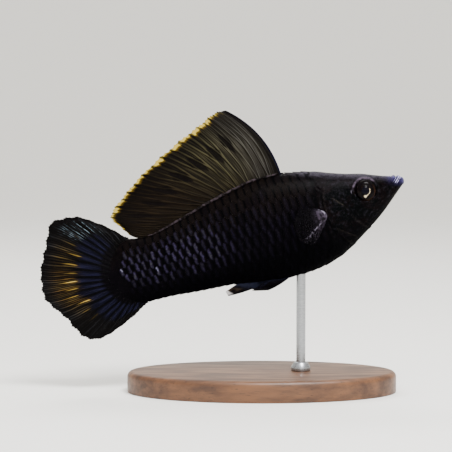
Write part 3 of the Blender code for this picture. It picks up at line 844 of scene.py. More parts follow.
def tail_membrane(colours):
    """Fan of dark rays: violet-blue skin at the root, gold lights and amber threads outside it."""
    made, node, shader = new_material("tail_membrane", Roughness=0.4, IOR=1.36, Specular_IOR_Level=0.035)
    rays, across, out = ray_place(node)
    fine = streaks(node, rays, 130.0, 3.0)
    dashes = streaks(node, rays, 170.0, 14.0)
    place_between = node("MULTIPLY", across, TAIL_RAYS - 1.0)
    gap = node("PINGPONG", place_between, 0.5)
    # The violet band's outer edge is ragged, and each gap between rays has its own share of light.
    reach = node("span", drawn(node, place_between, 5.0), 0.0, 1.0, -0.04, 0.04)
    ragged = node("ADD", node("ADD", out, reach), node("span", fine, 0.3, 0.7, -0.03, 0.03))
    middle = product(node, (across, 0.27, 0.40), (across, 0.74, 0.60))
    # Five threads fill each gap.
    place_of_thread = node("MULTIPLY", place_between, 5.0)
    thread = node("span", node("PINGPONG", place_of_thread, 0.5), 0.14, 0.40)
    fringe, lit = tail_fringe(node, out, middle, thread, place_of_thread, fine, colours)
    window = tail_windows(node, gap, ragged, middle, place_between, fine)
    gold = coats(node, colours.tail_gold, (colours.tail_orange, (ragged, 0.58, 0.82)))
    # The upper lobe has short teal dashes of painted highlight in place of the gold.
    upper = product(node, (across, 0.13, 0.20), (across, 0.32, 0.25), (ragged, 0.46, 0.60))
    fading, narrow = (ragged, 0.92, 0.70), (node("MULTIPLY", thread, thread), 0.3, 1.0)
    chosen = (drawn(node, place_of_thread, 41.0), 0.25, 0.8)
    # Near the root a ray shows as one broad dark line, and outside the band as four thin ones.
    stem = product(node, (gap, 0.17, 0.07), (out, 0.66, 0.46))
    forked = product(node, ray_lines(node, across, out, TAIL_RAYS, 0.06), (out, 0.3, 0.6, 0.45, 0.25))
    ray = node("MAXIMUM", stem, forked)
    colour = coats(
        node,
        colours.tail_violet,
        (colours.tail_violet_light, (gap, 0.10, 0.32), (fine, 0.38, 0.60, 0.25, 1.0)),
        (colours.tail_root, (out, 0.20, 0.12)),
        (colours.tail_dark, (across, 0.24, 0.12)),
        (fringe, (ragged, 0.43, 0.57)),
        (gold, window),
        (colours.tail_teal, upper, fading, narrow, chosen, (dashes, 0.46, 0.60, 0.1, 1.0)),
        # Painted highlight: grey lights on the upper lobe's rays
        (colours.tail_grey, (across, 0.26, 0.12), (lit, 0.15, 0.7), (out, 0.12, 0.35, 0.0, 0.7)),
        (colours.tail_ray, ray, 0.95),
    )
    fin_finish(node, shader, colour, node("span", window, 0.2, 1.0, 1.0, 0.85), ray, fine)
    return made


def small_membrane(name, rays_count, light, dark, tip, clear):
    """A small fin's thin skin over dark rays, with a painted sheen near the root and painted highlights as
    pale dots down one ray.
    """
    made, node, shader = new_material(name, Roughness=0.5, IOR=1.36, Specular_IOR_Level=0.04)
    rays, across, out = ray_place(node)
    ray = ray_lines(node, across, out, rays_count, 0.12)
    fine = streaks(node, rays, 30.0, 1.6)
    spots = streaks(node, rays, 18.0, 13.0)
    last = product(node, (across, 0.62, 0.84), (out, 1.0, 0.55, 0.0, 0.6))
    pale = node("MAXIMUM", node("span", out, 0.42, 0.04, 0.0, 0.8), last)
    line = node("ABSOLUTE", node("SUBTRACT", across, 0.80))
    colour = coats(
        node,
        dark,
        # Painted sheen near the root, then painted highlight dots down one ray
        (light, pale, (fine, 0.38, 0.62, 0.3, 1.0), (spots, 0.40, 0.58, 0.2, 1.0)),
        (tip, (line, 0.05, 0.015), (spots, 0.48, 0.58), (out, 1.0, 0.8, 0.0, 0.7)),
        (dark, ray, (out, 0.1, 0.5, 0.2, 0.7)),
    )
    alpha = node("MAXIMUM", node("span", out, 0.2, 0.9, 1.0, clear), node("span", ray, 0.1, 0.6, 0.0, 0.92))
    fin_finish(node, shader, colour, alpha, ray, fine)
    return made


def rod_membrane(colours):
    """The stiff anal fin: a painted blue-grey sheen on its root, brown last rays and a painted white
    highlight on its double point.
    """
    made, node, shader = new_material("anal_membrane", Roughness=0.4, IOR=1.36, Specular_IOR_Level=0.08)
    rays, across, out = ray_place(node)
    fine = streaks(node, rays, 16.0, 3.0)
    soft = node("noise", fish_frame(node), 0.9, 3.0, 0.55)
    colour = coats(
        node,
        colours.fin_dark,
        (colours.fin_blue, (out, 0.02, 0.2), (out, 0.62, 0.34), (soft, 0.34, 0.56, 0.3, 1.0)),
        (colours.fin_brown, (out, 0.5, 0.7), (out, 0.95, 0.84), (across, 0.35, 0.6), (fine, 0.4, 0.6)),
        (colours.fin_tip, (out, 0.85, 0.93), (fine, 0.32, 0.48, 0.4, 1.0), (across, 0.15, 0.4, 0.15, 1.0)),
    )
    feed(shader, {"Base Color": colour, "Normal": node("bump", fine, 0.08 * MM, 0.6)})
    return made


def fin_flesh(name, light, dark, rim):
    """Soft flesh at a fin's root: thin dark skin, paler over the muscle, with a painted highlight along its
    front rim.
    """
    made, node, shader = new_material(name, Roughness=0.4, IOR=1.38, Specular_IOR_Level=0.06)
    where = fish_frame(node)
    # Only the pads of the pectoral fins have this value: where their front rim gets the painted highlight.
    front = node("attribute", attribute_name="rim")
    soft, fine, rough = (node("noise", where, scale, 3.0, 0.55) for scale in (1.1, 1.6, 4.0))
    on_rim = (rim, (front, 0.45, 0.8), (fine, 0.36, 0.56, 0.15, 1.0))
    colour = coats(node, dark, (light, (soft, 0.40, 0.66)), on_rim)
    feed(shader, {"Base Color": colour, "Normal": node("bump", rough, 0.08 * MM, 0.6)})
    return made


def wet_eye(colours):
    """A fish's eye under a clear wet cornea: black pupil, a gold-white painted highlight below it, black
    iris.
    """
    made, node, shader = new_material(
        "wet_eye", Roughness=0.3, IOR=1.36, Specular_IOR_Level=0.02, Coat_Weight=0.07, Coat_Roughness=0.04
    )
    local = node("mapping", node("map", uv_map="iris"), (-1.0, -1.0, 0.0), (0, 0, 0), (2.0, 2.0, 2.0))
    x, y, _ = node("split", local)
    radius = node("length", local)
    fibres = node("noise", local, 7.0, 3.0, 0.55)
    ragged = node("ADD", radius, node("span", fibres, 0.3, 0.7, -0.04, 0.04))
    facing = node("MULTIPLY_ADD", y, -0.80, node("MULTIPLY", x, 0.60))
    # The painted highlight is widest straight below the pupil and thins toward the front.
    low = node("span", node("ABSOLUTE", node("ADD", x, 0.17)), 0.26, 0.02, 0.45, 0.62)
    crescent = product(node, (node("SUBTRACT", ragged, low), 0.02, -0.05), (ragged, 0.36, 0.41))
    colour = coats(
        node,
        colours.iris_dark,
        (colours.iris_brown, (fibres, 0.42, 0.62)),
        (colours.iris_bright, crescent, (facing, 0.10, 0.26), (fibres, 0.30, 0.46, 0.3, 1.0)),
        (colours.iris_gold, (ragged, 0.80, 0.86), (ragged, 0.95, 0.90), (facing, 0.1, 0.6, 0.0, 0.9)),
        (colours.pupil, (radius, 0.39, 0.36)),
    )
    feed(shader, {"Base Color": colour})
    return made


def walnut(colours):
    """Oiled walnut, planed and sanded: straight brown grain with dark pores, a low satin gloss."""
    made, node, shader = new_material("oiled_walnut", IOR=1.45, Coat_Weight=0.06, Coat_Roughness=0.3)
    where = node("object")
    # Growth rings about 2.5 mm apart run along the plate, and pores 0.15 mm wide show as short dashes.
    grain = node("noise", node("scaled", where, (60.0, 400.0, 400.0)), 1.0, 5.0, 0.6)
    pores = node("noise", node("scaled", where, (300.0, 3500.0, 3500.0)), 1.0, 2.0, 0.55)
    colour = coats(
        node,
        colours.walnut_dark,
        (colours.walnut_light, (grain, 0.3, 0.7)),
        (colours.walnut_pore, (pores, 0.6, 0.72, 0.0, 0.7)),
    )
    rough = node("span", grain, 0.3, 0.7, 0.5, 0.38)
    feed(shader, {"Base Color": colour, "Roughness": rough, "Normal": node("bump", pores, 0.03 * MM, 0.5)})
    return made


def brushed_steel(colours):
    """Stainless steel rod, brushed round: bright, with fine rings that spread its lights lengthwise."""
    made, node, shader = new_material("brushed_stainless", Metallic=1.0)
    # Brush lines are about 0.05 mm apart, drawn at 0.2 mm so that they show.
    lines = node("noise", node("scaled", node("object"), (300.0, 300.0, 5000.0)), 1.0, 2.0, 0.55)
    colour = coats(node, colours.steel_dark, (colours.steel_light, lines))
    rough = node("span", lines, 0.3, 0.7, 0.22, 0.36)
    feed(shader, {"Base Color": colour, "Roughness": rough, "Normal": node("bump", lines, 0.01 * MM, 0.4)})
    return made


def grid(columns, rows, map_name, values=()):
    """A flat grid of faces with a map over it. Its places run from 0 to 1 both ways."""
    bm = bmesh.new()
    bm.loops.layers.uv.new(map_name)
    bm.verts.layers.deform.new()
    for value in values:
        bm.verts.layers.float.new(value)
    bmesh.ops.create_grid(bm, x_segments=columns, y_segments=rows, size=0.5, calc_uvs=True)
    return bm, [(vert, vert.co.x + 0.5, vert.co.y + 0.5) for vert in bm.verts]


def piece(name, bm, look, replaced=(), sharp_deg=None):
    """Makes the mesh a piece of the model that rides on its one body."""
    obj = smooth_object(name, bm, look)
    if sharp_deg:
        obj.data.set_sharp_from_angle(angle=math.radians(sharp_deg))
    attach(obj, "root")
    if replaced:
        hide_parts(*replaced)
    return obj


def smooth_object(name, bm, look):
    mesh = bpy.data.meshes.new(name)
    bm.to_mesh(mesh)
    bm.free()
    mesh.shade_smooth()
    mesh.materials.append(look)
    obj = bpy.data.objects.new(name, mesh)
    bpy.context.scene.collection.objects.link(obj)
    return obj


def face_out(bm):
    """Turns every face of a closed mesh outward."""
    bm.normal_update()
    bmesh.ops.recalc_face_normals(bm, faces=bm.faces)


def turned(bm, profile, steps, closed=False):
    """Turns an outline of radii and heights round the upright axis."""
    verts = [bm.verts.new((radius, 0, height)) for radius, height in profile]
    ends = verts[1:] + (verts[:1] if closed else [])
    edges = [bm.edges.new(pair) for pair in zip(verts, ends)]
    bmesh.ops.spin(
        bm, geom=verts + edges, cent=(0, 0, 0), axis=(0, 0, 1), angle=math.tau, steps=steps, use_merge=True
    )


def round_off(bm, edges, width, steps):
    bmesh.ops.bevel(bm, geom=edges, offset=width, segments=steps, profile=0.5, affect="EDGES", material=-1)


def from_line(point, start, end):
    """How far the point is from the stretch between start and end."""
    run = end - start
    t = min(max((point - start).dot(run) / run.length_squared, 0.0), 1.0)
    return (point - (start + run * t)).length


def from_gill(at):
    """How far the place is outside the gill cover's edge, and its turn round the cover's centre."""
    spoke = at - GILL_CENTRE
    return spoke.length - GILL_RADIUS, math.degrees(math.atan2(spoke.y, spoke.x))


def mouth_relief(at):
    """The gape between two full lips, with a fold behind the upper one."""
    run = (MOUTH_FRONT - MOUTH_CORNER).normalized()
    behind = Vector((run.y, -run.x))
    open_by = (at - MOUTH_CORNER).dot(run)
    over = (at - MOUTH_CORNER).dot(behind)
    fade = 1.0 if open_by > 0 else hill(open_by, 0.0, 0.45)
    near = ease(5.2, 3.6, at.x)
    groove = -0.42 * hill(over, 0.0, 0.15)
    lips = 0.20 * hill(abs(over), 0.48, 0.26)
    fold = -0.13 * hill(over, 1.02, 0.12) - 0.08 * hill(over, 1.5, 0.12) - 0.08 * hill(over, -1.1, 0.15)
    return (groove + lips + fold) * fade * near


def eye_relief(at):
    """The orbit: a soft raised rim, and a drop inside it to below the eyeball's edge."""
    out = (at - EYE_CENTRE).length
    rim = 0.15 * hill(out, ORBIT_RADIUS + 0.50, 0.30)
    outer_fold = -0.06 * hill(out, ORBIT_RADIUS + 1.0, 0.16)
    return rim + outer_fold - 1.25 * ease(ORBIT_RADIUS, ORBIT_RADIUS - 0.30, out)


def gill_relief(at):
    """The gill cover's raised edge with the slit behind it, the folds across it and those below."""
    over, turn = from_gill(at)
    shown = ease(30.0, 8.0, turn) * ease(-84.0, -70.0, turn)
    edge = 0.12 * hill(over, -0.45, 0.45) - (0.18 + 0.14 * ease(-30.0, 0.0, turn)) * hill(over, 0.14, 0.16)
    plate = 0.10 * hill(over, -5.3, 0.5) - 0.14 * hill(over, -6.0, 0.22)
    plate *= ease(8.0, -10.0, turn) * ease(-80.0, -60.0, turn)
    cheek = from_line(at, *CHEEK_FOLD)
    lower = from_line(at, *LOWER_FOLD)
    folds = 0.06 * hill(cheek, 0.45, 0.25) - 0.09 * hill(cheek, 0.0, 0.18)
    folds += 0.06 * hill(lower, 0.5, 0.25) - 0.12 * hill(lower, 0.0, 0.18)
    return edge * shown + plate + folds


def fold_light(at):
    """How much painted highlight the wet edges of the gill cover and its folds get there, from 0 to 1."""
    over, turn = from_gill(at)
    rear = 0.35 * hill(over, -0.35, 0.2) * ease(30.0, 12.0, turn) * ease(-12.0, 4.0, turn)
    low = 0.3 * hill(over, -0.40, 0.2) * ease(-84.0, -72.0, turn) * ease(-30.0, -46.0, turn)
    plate = 0.22 * hill(over, -5.4, 0.22) * ease(-14.0, -30.0, turn) * ease(-80.0, -62.0, turn)
    cheek = 0.8 * hill(from_line(at + FOLD_EDGE, *CHEEK_FOLD), 0.0, 0.16) * ease(2.2, 0.2, at.y)
    lower = 0.35 * hill(from_line(at + FOLD_EDGE, *LOWER_FOLD), 0.0, 0.18)
    return max(rear, low, cheek, lower, plate)


def skin_relief(at):
    """How far the skin stands out of the body's form there, in millimetres."""
    relief = -SKIN_DEPTH_ON_HEAD - (SKIN_DEPTH_UNDER_SCALES - SKIN_DEPTH_ON_HEAD) * ease(19.0, 23.0, at.x)
    if at.x < HEAD_END:
        hollow = (at - NOSTRIL).length
        nostril = -0.34 * hill(hollow, 0.0, 0.26) + 0.08 * hill(hollow, 0.42, 0.12)
        slit = -0.14 * hill(from_line(at, NOSTRIL, NOSTRIL_SLIT_END), 0.0, 0.13)
        pad = 0.42 * ease(1.0, 0.45, math.hypot((at.x - PECTORAL_PAD.x) / 1.3, (at.y - PECTORAL_PAD.y) / 2.6))
        relief += mouth_relief(at) + eye_relief(at) + gill_relief(at) + nostril + slit + pad
    return relief


def skin_rings():
    """Distances of the skin's rings from the snout, close on the face and wide on the trunk."""
    nose = [NOSE_ROUNDING * (1 - math.cos(math.radians(a))) for a in range(2, 90, 11)]
    stretches = ((0.66, 6.0, 0.11), (6.0, 13.0, 0.15), (13.0, 22.0, 0.19), (22.0, 66.0, 0.55))
    middle = [a + k * step for a, b, step in stretches for k in range(int((b - a) / step))]
    root = [TAIL_ROOT_ALONG + TAIL_ROOT_RADIUS * math.sin(math.radians(a)) for a in range(0, 89, 4)]
    return nose + middle + root


def build_skin(sizes, colours):
    rings = skin_rings()
    bm, places = grid(sizes.skin_columns, len(rings) - 1, "OFBake", ("fold",))
    fold = bm.verts.layers.float["fold"]
    lies = {}
    for vert, u, v in places:
        at = on_body(rings[round(v * (len(rings) - 1))], 2 * u - 1)
        vert.co = (-at.x, at.y, at.z)
        lies[vert] = Vector((at.x, at.z))
        vert[fold] = fold_light(lies[vert]) if at.x < HEAD_END else 0.0
    bm.normal_update()
    moves = {vert: vert.normal * skin_relief(lies[vert]) for vert in bm.verts}
    facing = sum(vert.normal.y * vert.co.y for vert in bm.verts)
    for vert, move in moves.items():
        vert.co = vert.co + (move if facing > 0 else -move)
    bmesh.ops.remove_doubles(bm, verts=bm.verts, dist=1e-3)
    bmesh.ops.holes_fill(bm, edges=bm.edges, sides=0)
    bmesh.ops.transform(bm, matrix=POSE @ Matrix.Scale(MM, 4), verts=bm.verts)
    face_out(bm)
    return piece("skin", bm, wet_skin(colours), FLESH)


def glint_strength(at):
    """How strongly the painted violet highlight shows on scales there: most on the tail stalk and the middle
    of the flank.
    """
    cut = section(at.x)
    level = (at.z - cut.belly) / max(cut.back - cut.belly, 1e-6)
    height = ease(0.16, 0.46, level) * ease(0.93, 0.66, level)
    length = 0.13 + 0.87 * ease(35.0, 55.0, at.x)
    return length * height * ease(74.0, 70.0, at.x) + 0.03


def add_scale(bm, layers, root, size, lift, strength):
    """One scale: a thin domed plate that follows the body, sunk at its root and free behind."""
    along, down = root
    length, spread = size
    glint, bake, plate = layers
    made = bmesh.ops.create_grid(bm, x_segments=7, y_segments=7, size=1.0)["verts"]
    maps = {}
    for vert in made:
        back, across = (vert.co.x + 1) / 2, vert.co.y
        # The free edge is round: the plate is longest in its middle.
        reach = math.sqrt(1 - (0.93 * across) ** 2)
        run = back * (0.30 + 0.70 * reach)
        s = min(along + length * run, SCALES_END_ALONG)
        g = down + spread * across * (0.86 + 0.14 * math.sin(math.pi * back))
        dome = SCALE_DOME * (1 - across * across) * math.sin(math.pi * min(run + 0.1, 1.0))
        at = on_body(s, g) + out_of_body(s, g) * (lift * run + dome - SCALE_ROOT_DEPTH)
        vert[glint] = strength
        vert.co = (-at.x, at.y, at.z)
        maps[vert] = Vector((run, 0.5 + 0.5 * math.copysign(across, across * down)))
    corner = Vector((along / BODY_UNWRAP_LENGTH, 0.5 + down * 0.48))
    for face in {face for vert in made for face in vert.link_faces}:
        for loop in face.loops:
            loop[plate].uv = maps[loop.vert]
            loop[bake].uv = corner + maps[loop.vert] * BAKE_PATCH


def scale_roots(sizes, side):
    """Where scales are rooted on one side: rows from back to belly, each half a step from the last."""
    step, rows = sizes.scale_step / MM, sizes.scale_rows
    count = int((TAIL_ROOT_ALONG + TAIL_ROOT_RADIUS - FIRST_SCALE_ALONG) / step) + 2
    for row in range(rows + 1):
        down = row / rows
        for k in range(count):
            along = FIRST_SCALE_ALONG + (k + 0.5 * (row % 2)) * step
            at = on_body(min(along, LAST_SCALE_ALONG), side * down)
            on_gill_cover = from_gill(Vector((at.x, at.z)))[0] < -0.1
            under_sail = row == 0 and SAIL_BASE_FRONT - 3.0 < along < SAIL_BASE_BACK + 1.0
            past_end = along > TAIL_ROOT_ALONG + 1.4 * math.sin(math.pi * down)
            # The middle rows of back and belly belong to the left side alone.
            twice = row in (0, rows) and side < 0
            if not (on_gill_cover or under_sail or past_end or twice):
                yield along, down


def build_scales(sizes, colours):
    look = wet_scales(colours)
    step, rows = sizes.scale_step / MM, sizes.scale_rows
    for side, name in SIDES:
        draw = random.Random(11 + side)
        bm = bmesh.new()
        layers = [bm.verts.layers.float.new("glint"), *map(bm.loops.layers.uv.new, ("OFBake", "plate"))]
        for along, down in scale_roots(sizes, side):
            at = on_body(min(along + 1.0, LAST_SCALE_ALONG), side * down)
            # Each scale's share of the painted violet highlight
            strength = min(glint_strength(at), 0.98) * draw.choice(GLINT_SHARES)
            jitter = draw.uniform(-0.06, 0.06) * step
            spread = SCALE_HALF_WIDTH / rows * draw.uniform(0.96, 1.04)
            root, size = (along + jitter, side * down), (SCALE_LENGTH * step, spread)
            add_scale(bm, layers, root, size, sizes.scale_lift / MM, strength)
        bm.normal_update()
        bmesh.ops.transform(bm, matrix=POSE @ Matrix.Scale(MM, 4), verts=bm.verts)
        face_out(bm)
        bmesh.ops.solidify(bm, geom=bm.faces[:], thickness=SCALE_THICKNESS * MM)
        piece(f"scales_{name}", bm, look, sharp_deg=50)


def fin_piece(name, columns, rows, shape, rays, widths, look, replaced, stiff=0.0):
    """A fin of membrane over rays. widths are the thickness, in millimetres, of the membrane at root
    and edge and of the rays at root and edge."""
    bm, places = grid(columns, rows, "rays")
    thick = bm.verts.layers.deform.active
    most = max(widths)
    for vert, u, v in places:
        high = max(ray_height(rays, u, v), stiff * hill(u, 0.0, 0.02))
        membrane = widths[0] + (widths[1] - widths[0]) * v
        bone = widths[2] + (widths[3] - widths[2]) * v
        end = 1 - 0.75 * ease(0.97, 1.0, v)
        vert[thick][0] = (membrane + (bone - membrane) * high) / most * end
        vert.co = place(*shape(u, v))
    obj = piece(name, bm, look, (replaced,))
    obj.vertex_groups.new(name="thickness")
    shell = obj.modifiers.new("thickness", "SOLIDIFY")
    shell.thickness = most * MM
    shell.offset = 0.0
    shell.vertex_group = "thickness"
    shell.thickness_vertex_group = 0.0
    return obj


def build_sail_sheath(colours):
    """The low fleshy ridge that the dorsal fin stands in."""
    bm, places = grid(16, 90, "rays")
    length = SAIL_BASE_BACK - SAIL_BASE_FRONT + 2 * SHEATH_OVERHANG
    for vert, u, v in places:
        along = SAIL_BASE_FRONT - SHEATH_OVERHANG + length * v
        turn = math.tau * u
        plump = 0.62 * math.sin(math.pi * min(max(v, 0.004), 0.996)) ** 0.3
        side = 0.62 * plump * math.cos(turn)
        up = section(along).back - 0.08 + 0.75 * plump * math.sin(turn)
        vert.co = place(along, side, up)
    bmesh.ops.remove_doubles(bm, verts=bm.verts, dist=1e-6)
    bmesh.ops.holes_fill(bm, edges=bm.edges, sides=0)
    face_out(bm)
    flesh = fin_flesh("dorsal_flesh", colours.ridge, colours.back, colours.pad_rim)
    piece("dorsal_sheath", bm, flesh)


def build_pectoral_pads(colours):
    """The fleshy crescent at the root of each pectoral fin."""
    look = fin_flesh("pectoral_flesh", colours.pad, colours.pad_dark, colours.pad_rim)
    for side, name in SIDES:
        bm = bmesh.new()
        rim = bm.verts.layers.float.new("rim")
        bmesh.ops.create_uvsphere(bm, u_segments=40, v_segments=24, radius=1.0)
        for vert in bm.verts:
            x, y, z = vert.co
            # Where the pad's front rim gets the painted highlight
            vert[rim] = hill(x, -0.72, 0.24) * ease(-0.6, 0.1, y)
            taper = 1.0 - 0.35 * y * y
            along = PECTORAL_PAD.x + 0.35 + 1.25 * x * taper + 1.5 * y * y
            up = PECTORAL_PAD.y + 2.3 * y - 0.35
            vert.co = place(along, side * (flank(along, up) + 0.28 + 0.72 * z * taper + 0.15 * x), up)
        face_out(bm)
        piece(f"pectoral_pad_{name}", bm, look)


def build_eyes(colours):
    look = wet_eye(colours)
    for side, name in SIDES:
        bm = bmesh.new()
        iris = bm.loops.layers.uv.new("iris")
        bmesh.ops.create_uvsphere(bm, u_segments=64, v_segments=48, radius=1.0)
        local = {vert: vert.co.copy() for vert in bm.verts}
        for face in bm.faces:
            for loop in face.loops:
                x, y, _ = local[loop.vert]
                loop[iris].uv = (0.5 - 0.5 * x, 0.5 + 0.5 * y)
        for vert, (x, y, z) in local.items():
            out = math.hypot(x, y)
            lens = 0.16 * ease(0.5, 0.25, out) - 0.10 * hill(out, 0.52, 0.1) if z > 0 else 0.0
            bulge = side * (EYE_SIDE + z * EYE_HALF_THICKNESS + lens)
            vert.co = place(EYE_CENTRE.x + x * EYE_RADIUS, bulge, EYE_CENTRE.y + y * EYE_RADIUS)
        face_out(bm)
        piece(f"eyeball_{name}", bm, look, (f"eye_{name}",))


def build_plate(look):
    """The oval wooden plate, its upper edge well rounded and its foot hardly."""
    bm = bmesh.new()
    bmesh.ops.create_cone(bm, cap_ends=True, segments=160, radius1=0.5, radius2=0.5, depth=1.0)
    bmesh.ops.scale(bm, vec=base_high - base_low, verts=bm.verts)
    bmesh.ops.translate(bm, vec=(base_high + base_low) / 2, verts=bm.verts)
    half_way = (base_high.z + base_low.z) / 2
    top = [e for e in bm.edges if all(v.co.z > half_way for v in e.verts)]
    foot = [e for e in bm.edges if all(v.co.z < half_way for v in e.verts)]
    round_off(bm, top, 1.3 * MM, 6)
    round_off(bm, foot, 0.3 * MM, 2)
    piece("stand_plate", bm, look, ("stand_base",), sharp_deg=35)


def build_stem(look):
    """The rod. It stands on the plate itself, where the solids keep a gap."""
    radius = (rod_high.x - rod_low.x) / 2
    length = rod_high.z - base_high.z
    centre = (rod_high + rod_low) / 2
    bm = bmesh.new()
    bmesh.ops.create_cone(bm, cap_ends=True, segments=48, radius1=radius, radius2=radius, depth=length)
    bmesh.ops.translate(bm, vec=(centre.x, centre.y, base_high.z + length / 2), verts=bm.verts)
    piece("stand_stem", bm, look, ("stand_rod",), sharp_deg=35)


def build_ferrule(look):
    """The turned ring at the rod's foot, with a sloping shoulder and softened edges."""
    inner = (rod_high.x - rod_low.x) / 2
    outer = (collar_high.x - collar_low.x) / 2
    low, high = base_high.z, collar_high.z
    centre = (rod_high + rod_low) / 2
    shoulder = ((outer - 0.7 * MM, high), (outer, low + 0.9 * MM))
    bm = bmesh.new()
    turned(bm, ((inner, high), *shoulder, (outer, low), (inner, low)), 64, closed=True)
    bmesh.ops.translate(bm, vec=(centre.x, centre.y, 0), verts=bm.verts)
    face_out(bm)
    sharp = [e for e in bm.edges if len(e.link_faces) == 2 and e.calc_face_angle() > math.radians(20)]
    round_off(bm, sharp, 0.12 * MM, 3)
    piece("stand_ferrule", bm, look, ("stand_collar",), sharp_deg=35)


def build_sweep(paper):
    """A bowl of matt paper: a flat floor that bends up into a wall all round."""
    turns = [math.radians(a) for a in range(0, 91, 6)]
    bend = [(SWEEP_FLOOR + SWEEP_BEND * math.sin(t), SWEEP_BEND * (1 - math.cos(t))) for t in turns]
    bm = bmesh.new()
    turned(bm, ((0.0, 0.0), *bend, (SWEEP_FLOOR + SWEEP_BEND, SWEEP_TOP)), 72)
    bmesh.ops.remove_doubles(bm, verts=bm.verts, dist=1e-6)
    face_out(bm)
    bmesh.ops.reverse_faces(bm, faces=bm.faces)
    look, _, _ = new_material("matt_paper", Base_Color=paper, Roughness=0.95)
    smooth_object("sweep", bm, look)


def area_light(name, power, size, spot):
    """A soft light of that size that looks from its spot at the fish."""
    lamp = bpy.data.lights.new(name, "AREA")
    lamp.energy = power
    lamp.shape = "RECTANGLE"
    lamp.size, lamp.size_y = size
    obj = bpy.data.objects.new(name, lamp)
    obj.location = spot
    obj.rotation_euler = (LIT_SPOT - Vector(spot)).to_track_quat("-Z", "Y").to_euler()
    bpy.context.scene.collection.objects.link(obj)


def colour_property(name, hex_colour):
    label = name.replace("_", " ").capitalize()
    return FloatVectorProperty(
        name=label, description=label, default=linear(hex_colour), size=3, subtype="COLOR", min=0, max=1
    )


class MollySizes(PropertyGroup):
    skin_columns: IntProperty(name="Skin columns", description="Faces round the body", default=200, min=24)
    scale_rows: IntProperty(name="Scale rows", description="Rows from back to belly", default=9, min=4)
    scale_step: FloatProperty(
        name="Scale step", description="From one scale to the next in a row", default=0.00185, unit="LENGTH"
    )
    scale_lift: FloatProperty(
        name="Scale lift", description="How far a scale's free edge rises", default=0.00044, unit="LENGTH"
    )


class MollyColours(PropertyGroup):
    __annotations__ = {name: colour_property(name, hex_colour) for name, hex_colour in COLOURS.items()}


class MollyStage(PropertyGroup):
    paper: colour_property("backdrop", "#f3f2ee")
    lens: FloatProperty(name="Lens", description="Focal length in millimetres", default=135.0, min=10)
    lift: FloatProperty(
        name="Camera height", description="Angle above the horizon", default=math.radians(4), subtype="ANGLE"
    )
    key: FloatProperty(name="Key light", description="Power of the overhead light", default=2.6, unit="POWER")
    fill: FloatProperty(name="Fill light", description="Power of the front light", default=1.2, unit="POWER")
    rim: FloatProperty(name="Rim light", description="Power of the light behind", default=1.2, unit="POWER")
    sky: FloatProperty(name="Sky", description="Strength of the soft light from above", default=1.5, min=0)


class MOLLY_OT_stage(Operator):
    """Set up the paper sweep, the soft lights and the camera"""

    bl_idname = "molly.stage"
    bl_label = "Stage"

    def execute(self, context):
        stage = context.scene.molly_stage
        lens_data = bpy.data.cameras.new("camera")
        lens_data.lens = stage.lens
        lens_data.clip_start = 0.01
        distance = PICTURE_WIDTH * stage.lens / lens_data.sensor_width
        camera = bpy.data.objects.new("camera", lens_data)
        back_and_up = Vector((0, -math.cos(stage.lift), math.sin(stage.lift)))
        camera.location = PICTURE_MIDDLE + back_and_up * distance
        camera.rotation_euler = (math.pi / 2 - stage.lift, 0, 0)
        context.scene.collection.objects.link(camera)
        context.scene.camera = camera

        build_sweep(stage.paper)
        area_light("key", stage.key, (0.16, 0.12), (0.08, -0.16, 0.36))
        area_light("fill", stage.fill, (0.5, 0.3), (0.16, -0.62, 0.22))
        area_light("rim", stage.rim, (0.3, 0.1), (-0.10, 0.30, 0.42))
        world = bpy.data.worlds.new("studio")
        world.use_nodes = True
        feed(world.node_tree.nodes["Background"], {"Color": (1.0, 0.98, 0.95), "Strength": stage.sky})
        context.scene.world = world
        return {"FINISHED"}


class MOLLY_OT_skin(Operator):
    """Build the one skin that covers the head, trunk and tail"""

    bl_idname = "molly.skin"
    bl_label = "Skin"

    def execute(self, context):
        skin = build_skin(context.scene.molly_sizes, context.scene.molly_colours)
        if len(skin.data.vertices) < LEAST_SKIN_VERTICES:
            raise RuntimeError("the skin has collapsed")
        return {"FINISHED"}


class MOLLY_OT_scales(Operator):
    """Lay the scales over the skin"""

    bl_idname = "molly.scales"
    bl_label = "Scales"

    def execute(self, context):
        build_scales(context.scene.molly_sizes, context.scene.molly_colours)
        return {"FINISHED"}


class MOLLY_OT_eyes(Operator):
    """Build both eyes"""

    bl_idname = "molly.eyes"
    bl_label = "Eyes"

    def execute(self, context):
        build_eyes(context.scene.molly_colours)
        return {"FINISHED"}


class MOLLY_OT_sail(Operator):
    """Build the dorsal fin and the ridge that it stands in"""

    bl_idname = "molly.sail"
    bl_label = "Dorsal fin"

    def execute(self, context):
        colours = context.scene.molly_colours
        look = sail_membrane(colours)
        columns = 16 * (SAIL_RAYS - 1)
        fin_piece("sail", columns, 64, sail_shape, SAIL_RAYS, SAIL_THICKNESS, look, "dorsal_fin", stiff=1.0)
        build_sail_sheath(colours)
        return {"FINISHED"}


class MOLLY_OT_tail(Operator):
    """Build the caudal fin"""

    bl_idname = "molly.tail"
    bl_label = "Caudal fin"

    def execute(self, context):
        look = tail_membrane(context.scene.molly_colours)
        columns = 12 * (TAIL_RAYS - 1)
        fin_piece("tail_fan", columns, 56, tail_shape, TAIL_RAYS, TAIL_THICKNESS, look, "caudal_fin")
        return {"FINISHED"}


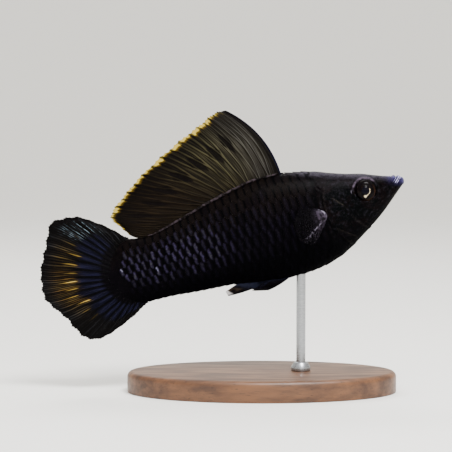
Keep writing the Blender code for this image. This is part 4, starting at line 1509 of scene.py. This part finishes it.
class MOLLY_OT_small_fins(Operator):
    """Build the pectoral, pelvic and anal fins"""

    bl_idname = "molly.small_fins"
    bl_label = "Small fins"

    def execute(self, context):
        colours = context.scene.molly_colours
        dark, blue = colours.fin_dark, colours.fin_blue
        # The pectoral fins take the pad's colour as their painted sheen and the rim colour for their painted
        # highlight dots
        clear = small_membrane("pectoral_membrane", PECTORAL_RAYS, colours.pad, dark, colours.pad_rim, 0.35)
        dense = small_membrane("pelvic_membrane", PELVIC_RAYS, blue, dark, blue, 0.9)
        for side, name in SIDES:
            for fin, shape, rays, thickness, look in (
                ("pectoral", pectoral_shape(side), PECTORAL_RAYS, PECTORAL_THICKNESS, clear),
                ("pelvic", pelvic_shape(side), PELVIC_RAYS, PELVIC_THICKNESS, dense),
            ):
                replaced = f"{fin}_fin_{name}"
                fin_piece(f"{fin}_fan_{name}", 16 * (rays - 1), 28, shape, rays, thickness, look, replaced)
        look = rod_membrane(colours)
        columns = 16 * (ANAL_RAYS - 1)
        fin_piece("anal_rod", columns, 48, anal_shape, ANAL_RAYS, ANAL_THICKNESS, look, "anal_fin")
        build_pectoral_pads(colours)
        return {"FINISHED"}


class MOLLY_OT_stand(Operator):
    """Build the display stand"""

    bl_idname = "molly.stand"
    bl_label = "Stand"

    def execute(self, context):
        colours = context.scene.molly_colours
        build_plate(walnut(colours))
        steel = brushed_steel(colours)
        build_stem(steel)
        build_ferrule(steel)
        return {"FINISHED"}


OPERATORS = (
    MOLLY_OT_stage,
    MOLLY_OT_skin,
    MOLLY_OT_scales,
    MOLLY_OT_eyes,
    MOLLY_OT_sail,
    MOLLY_OT_tail,
    MOLLY_OT_small_fins,
    MOLLY_OT_stand,
)


class MOLLY_PT_panel(Panel):
    bl_idname = "MOLLY_PT_panel"
    bl_label = "Sailfin molly"
    bl_space_type = "VIEW_3D"
    bl_region_type = "UI"
    bl_category = "Molly"

    def draw(self, context):
        for operator in OPERATORS:
            self.layout.operator(operator.bl_idname)


CLASSES = (MollySizes, MollyColours, MollyStage, *OPERATORS, MOLLY_PT_panel)


def register():
    for cls in CLASSES:
        bpy.utils.register_class(cls)
    bpy.types.Scene.molly_sizes = PointerProperty(type=MollySizes)
    bpy.types.Scene.molly_colours = PointerProperty(type=MollyColours)
    bpy.types.Scene.molly_stage = PointerProperty(type=MollyStage)


def unregister():
    del bpy.types.Scene.molly_sizes
    del bpy.types.Scene.molly_colours
    del bpy.types.Scene.molly_stage
    for cls in reversed(CLASSES):
        bpy.utils.unregister_class(cls)


def main():
    register()
    for operator in OPERATORS:
        getattr(bpy.ops.molly, operator.bl_idname.split(".")[1])()


if __name__ == "__main__":
    main()
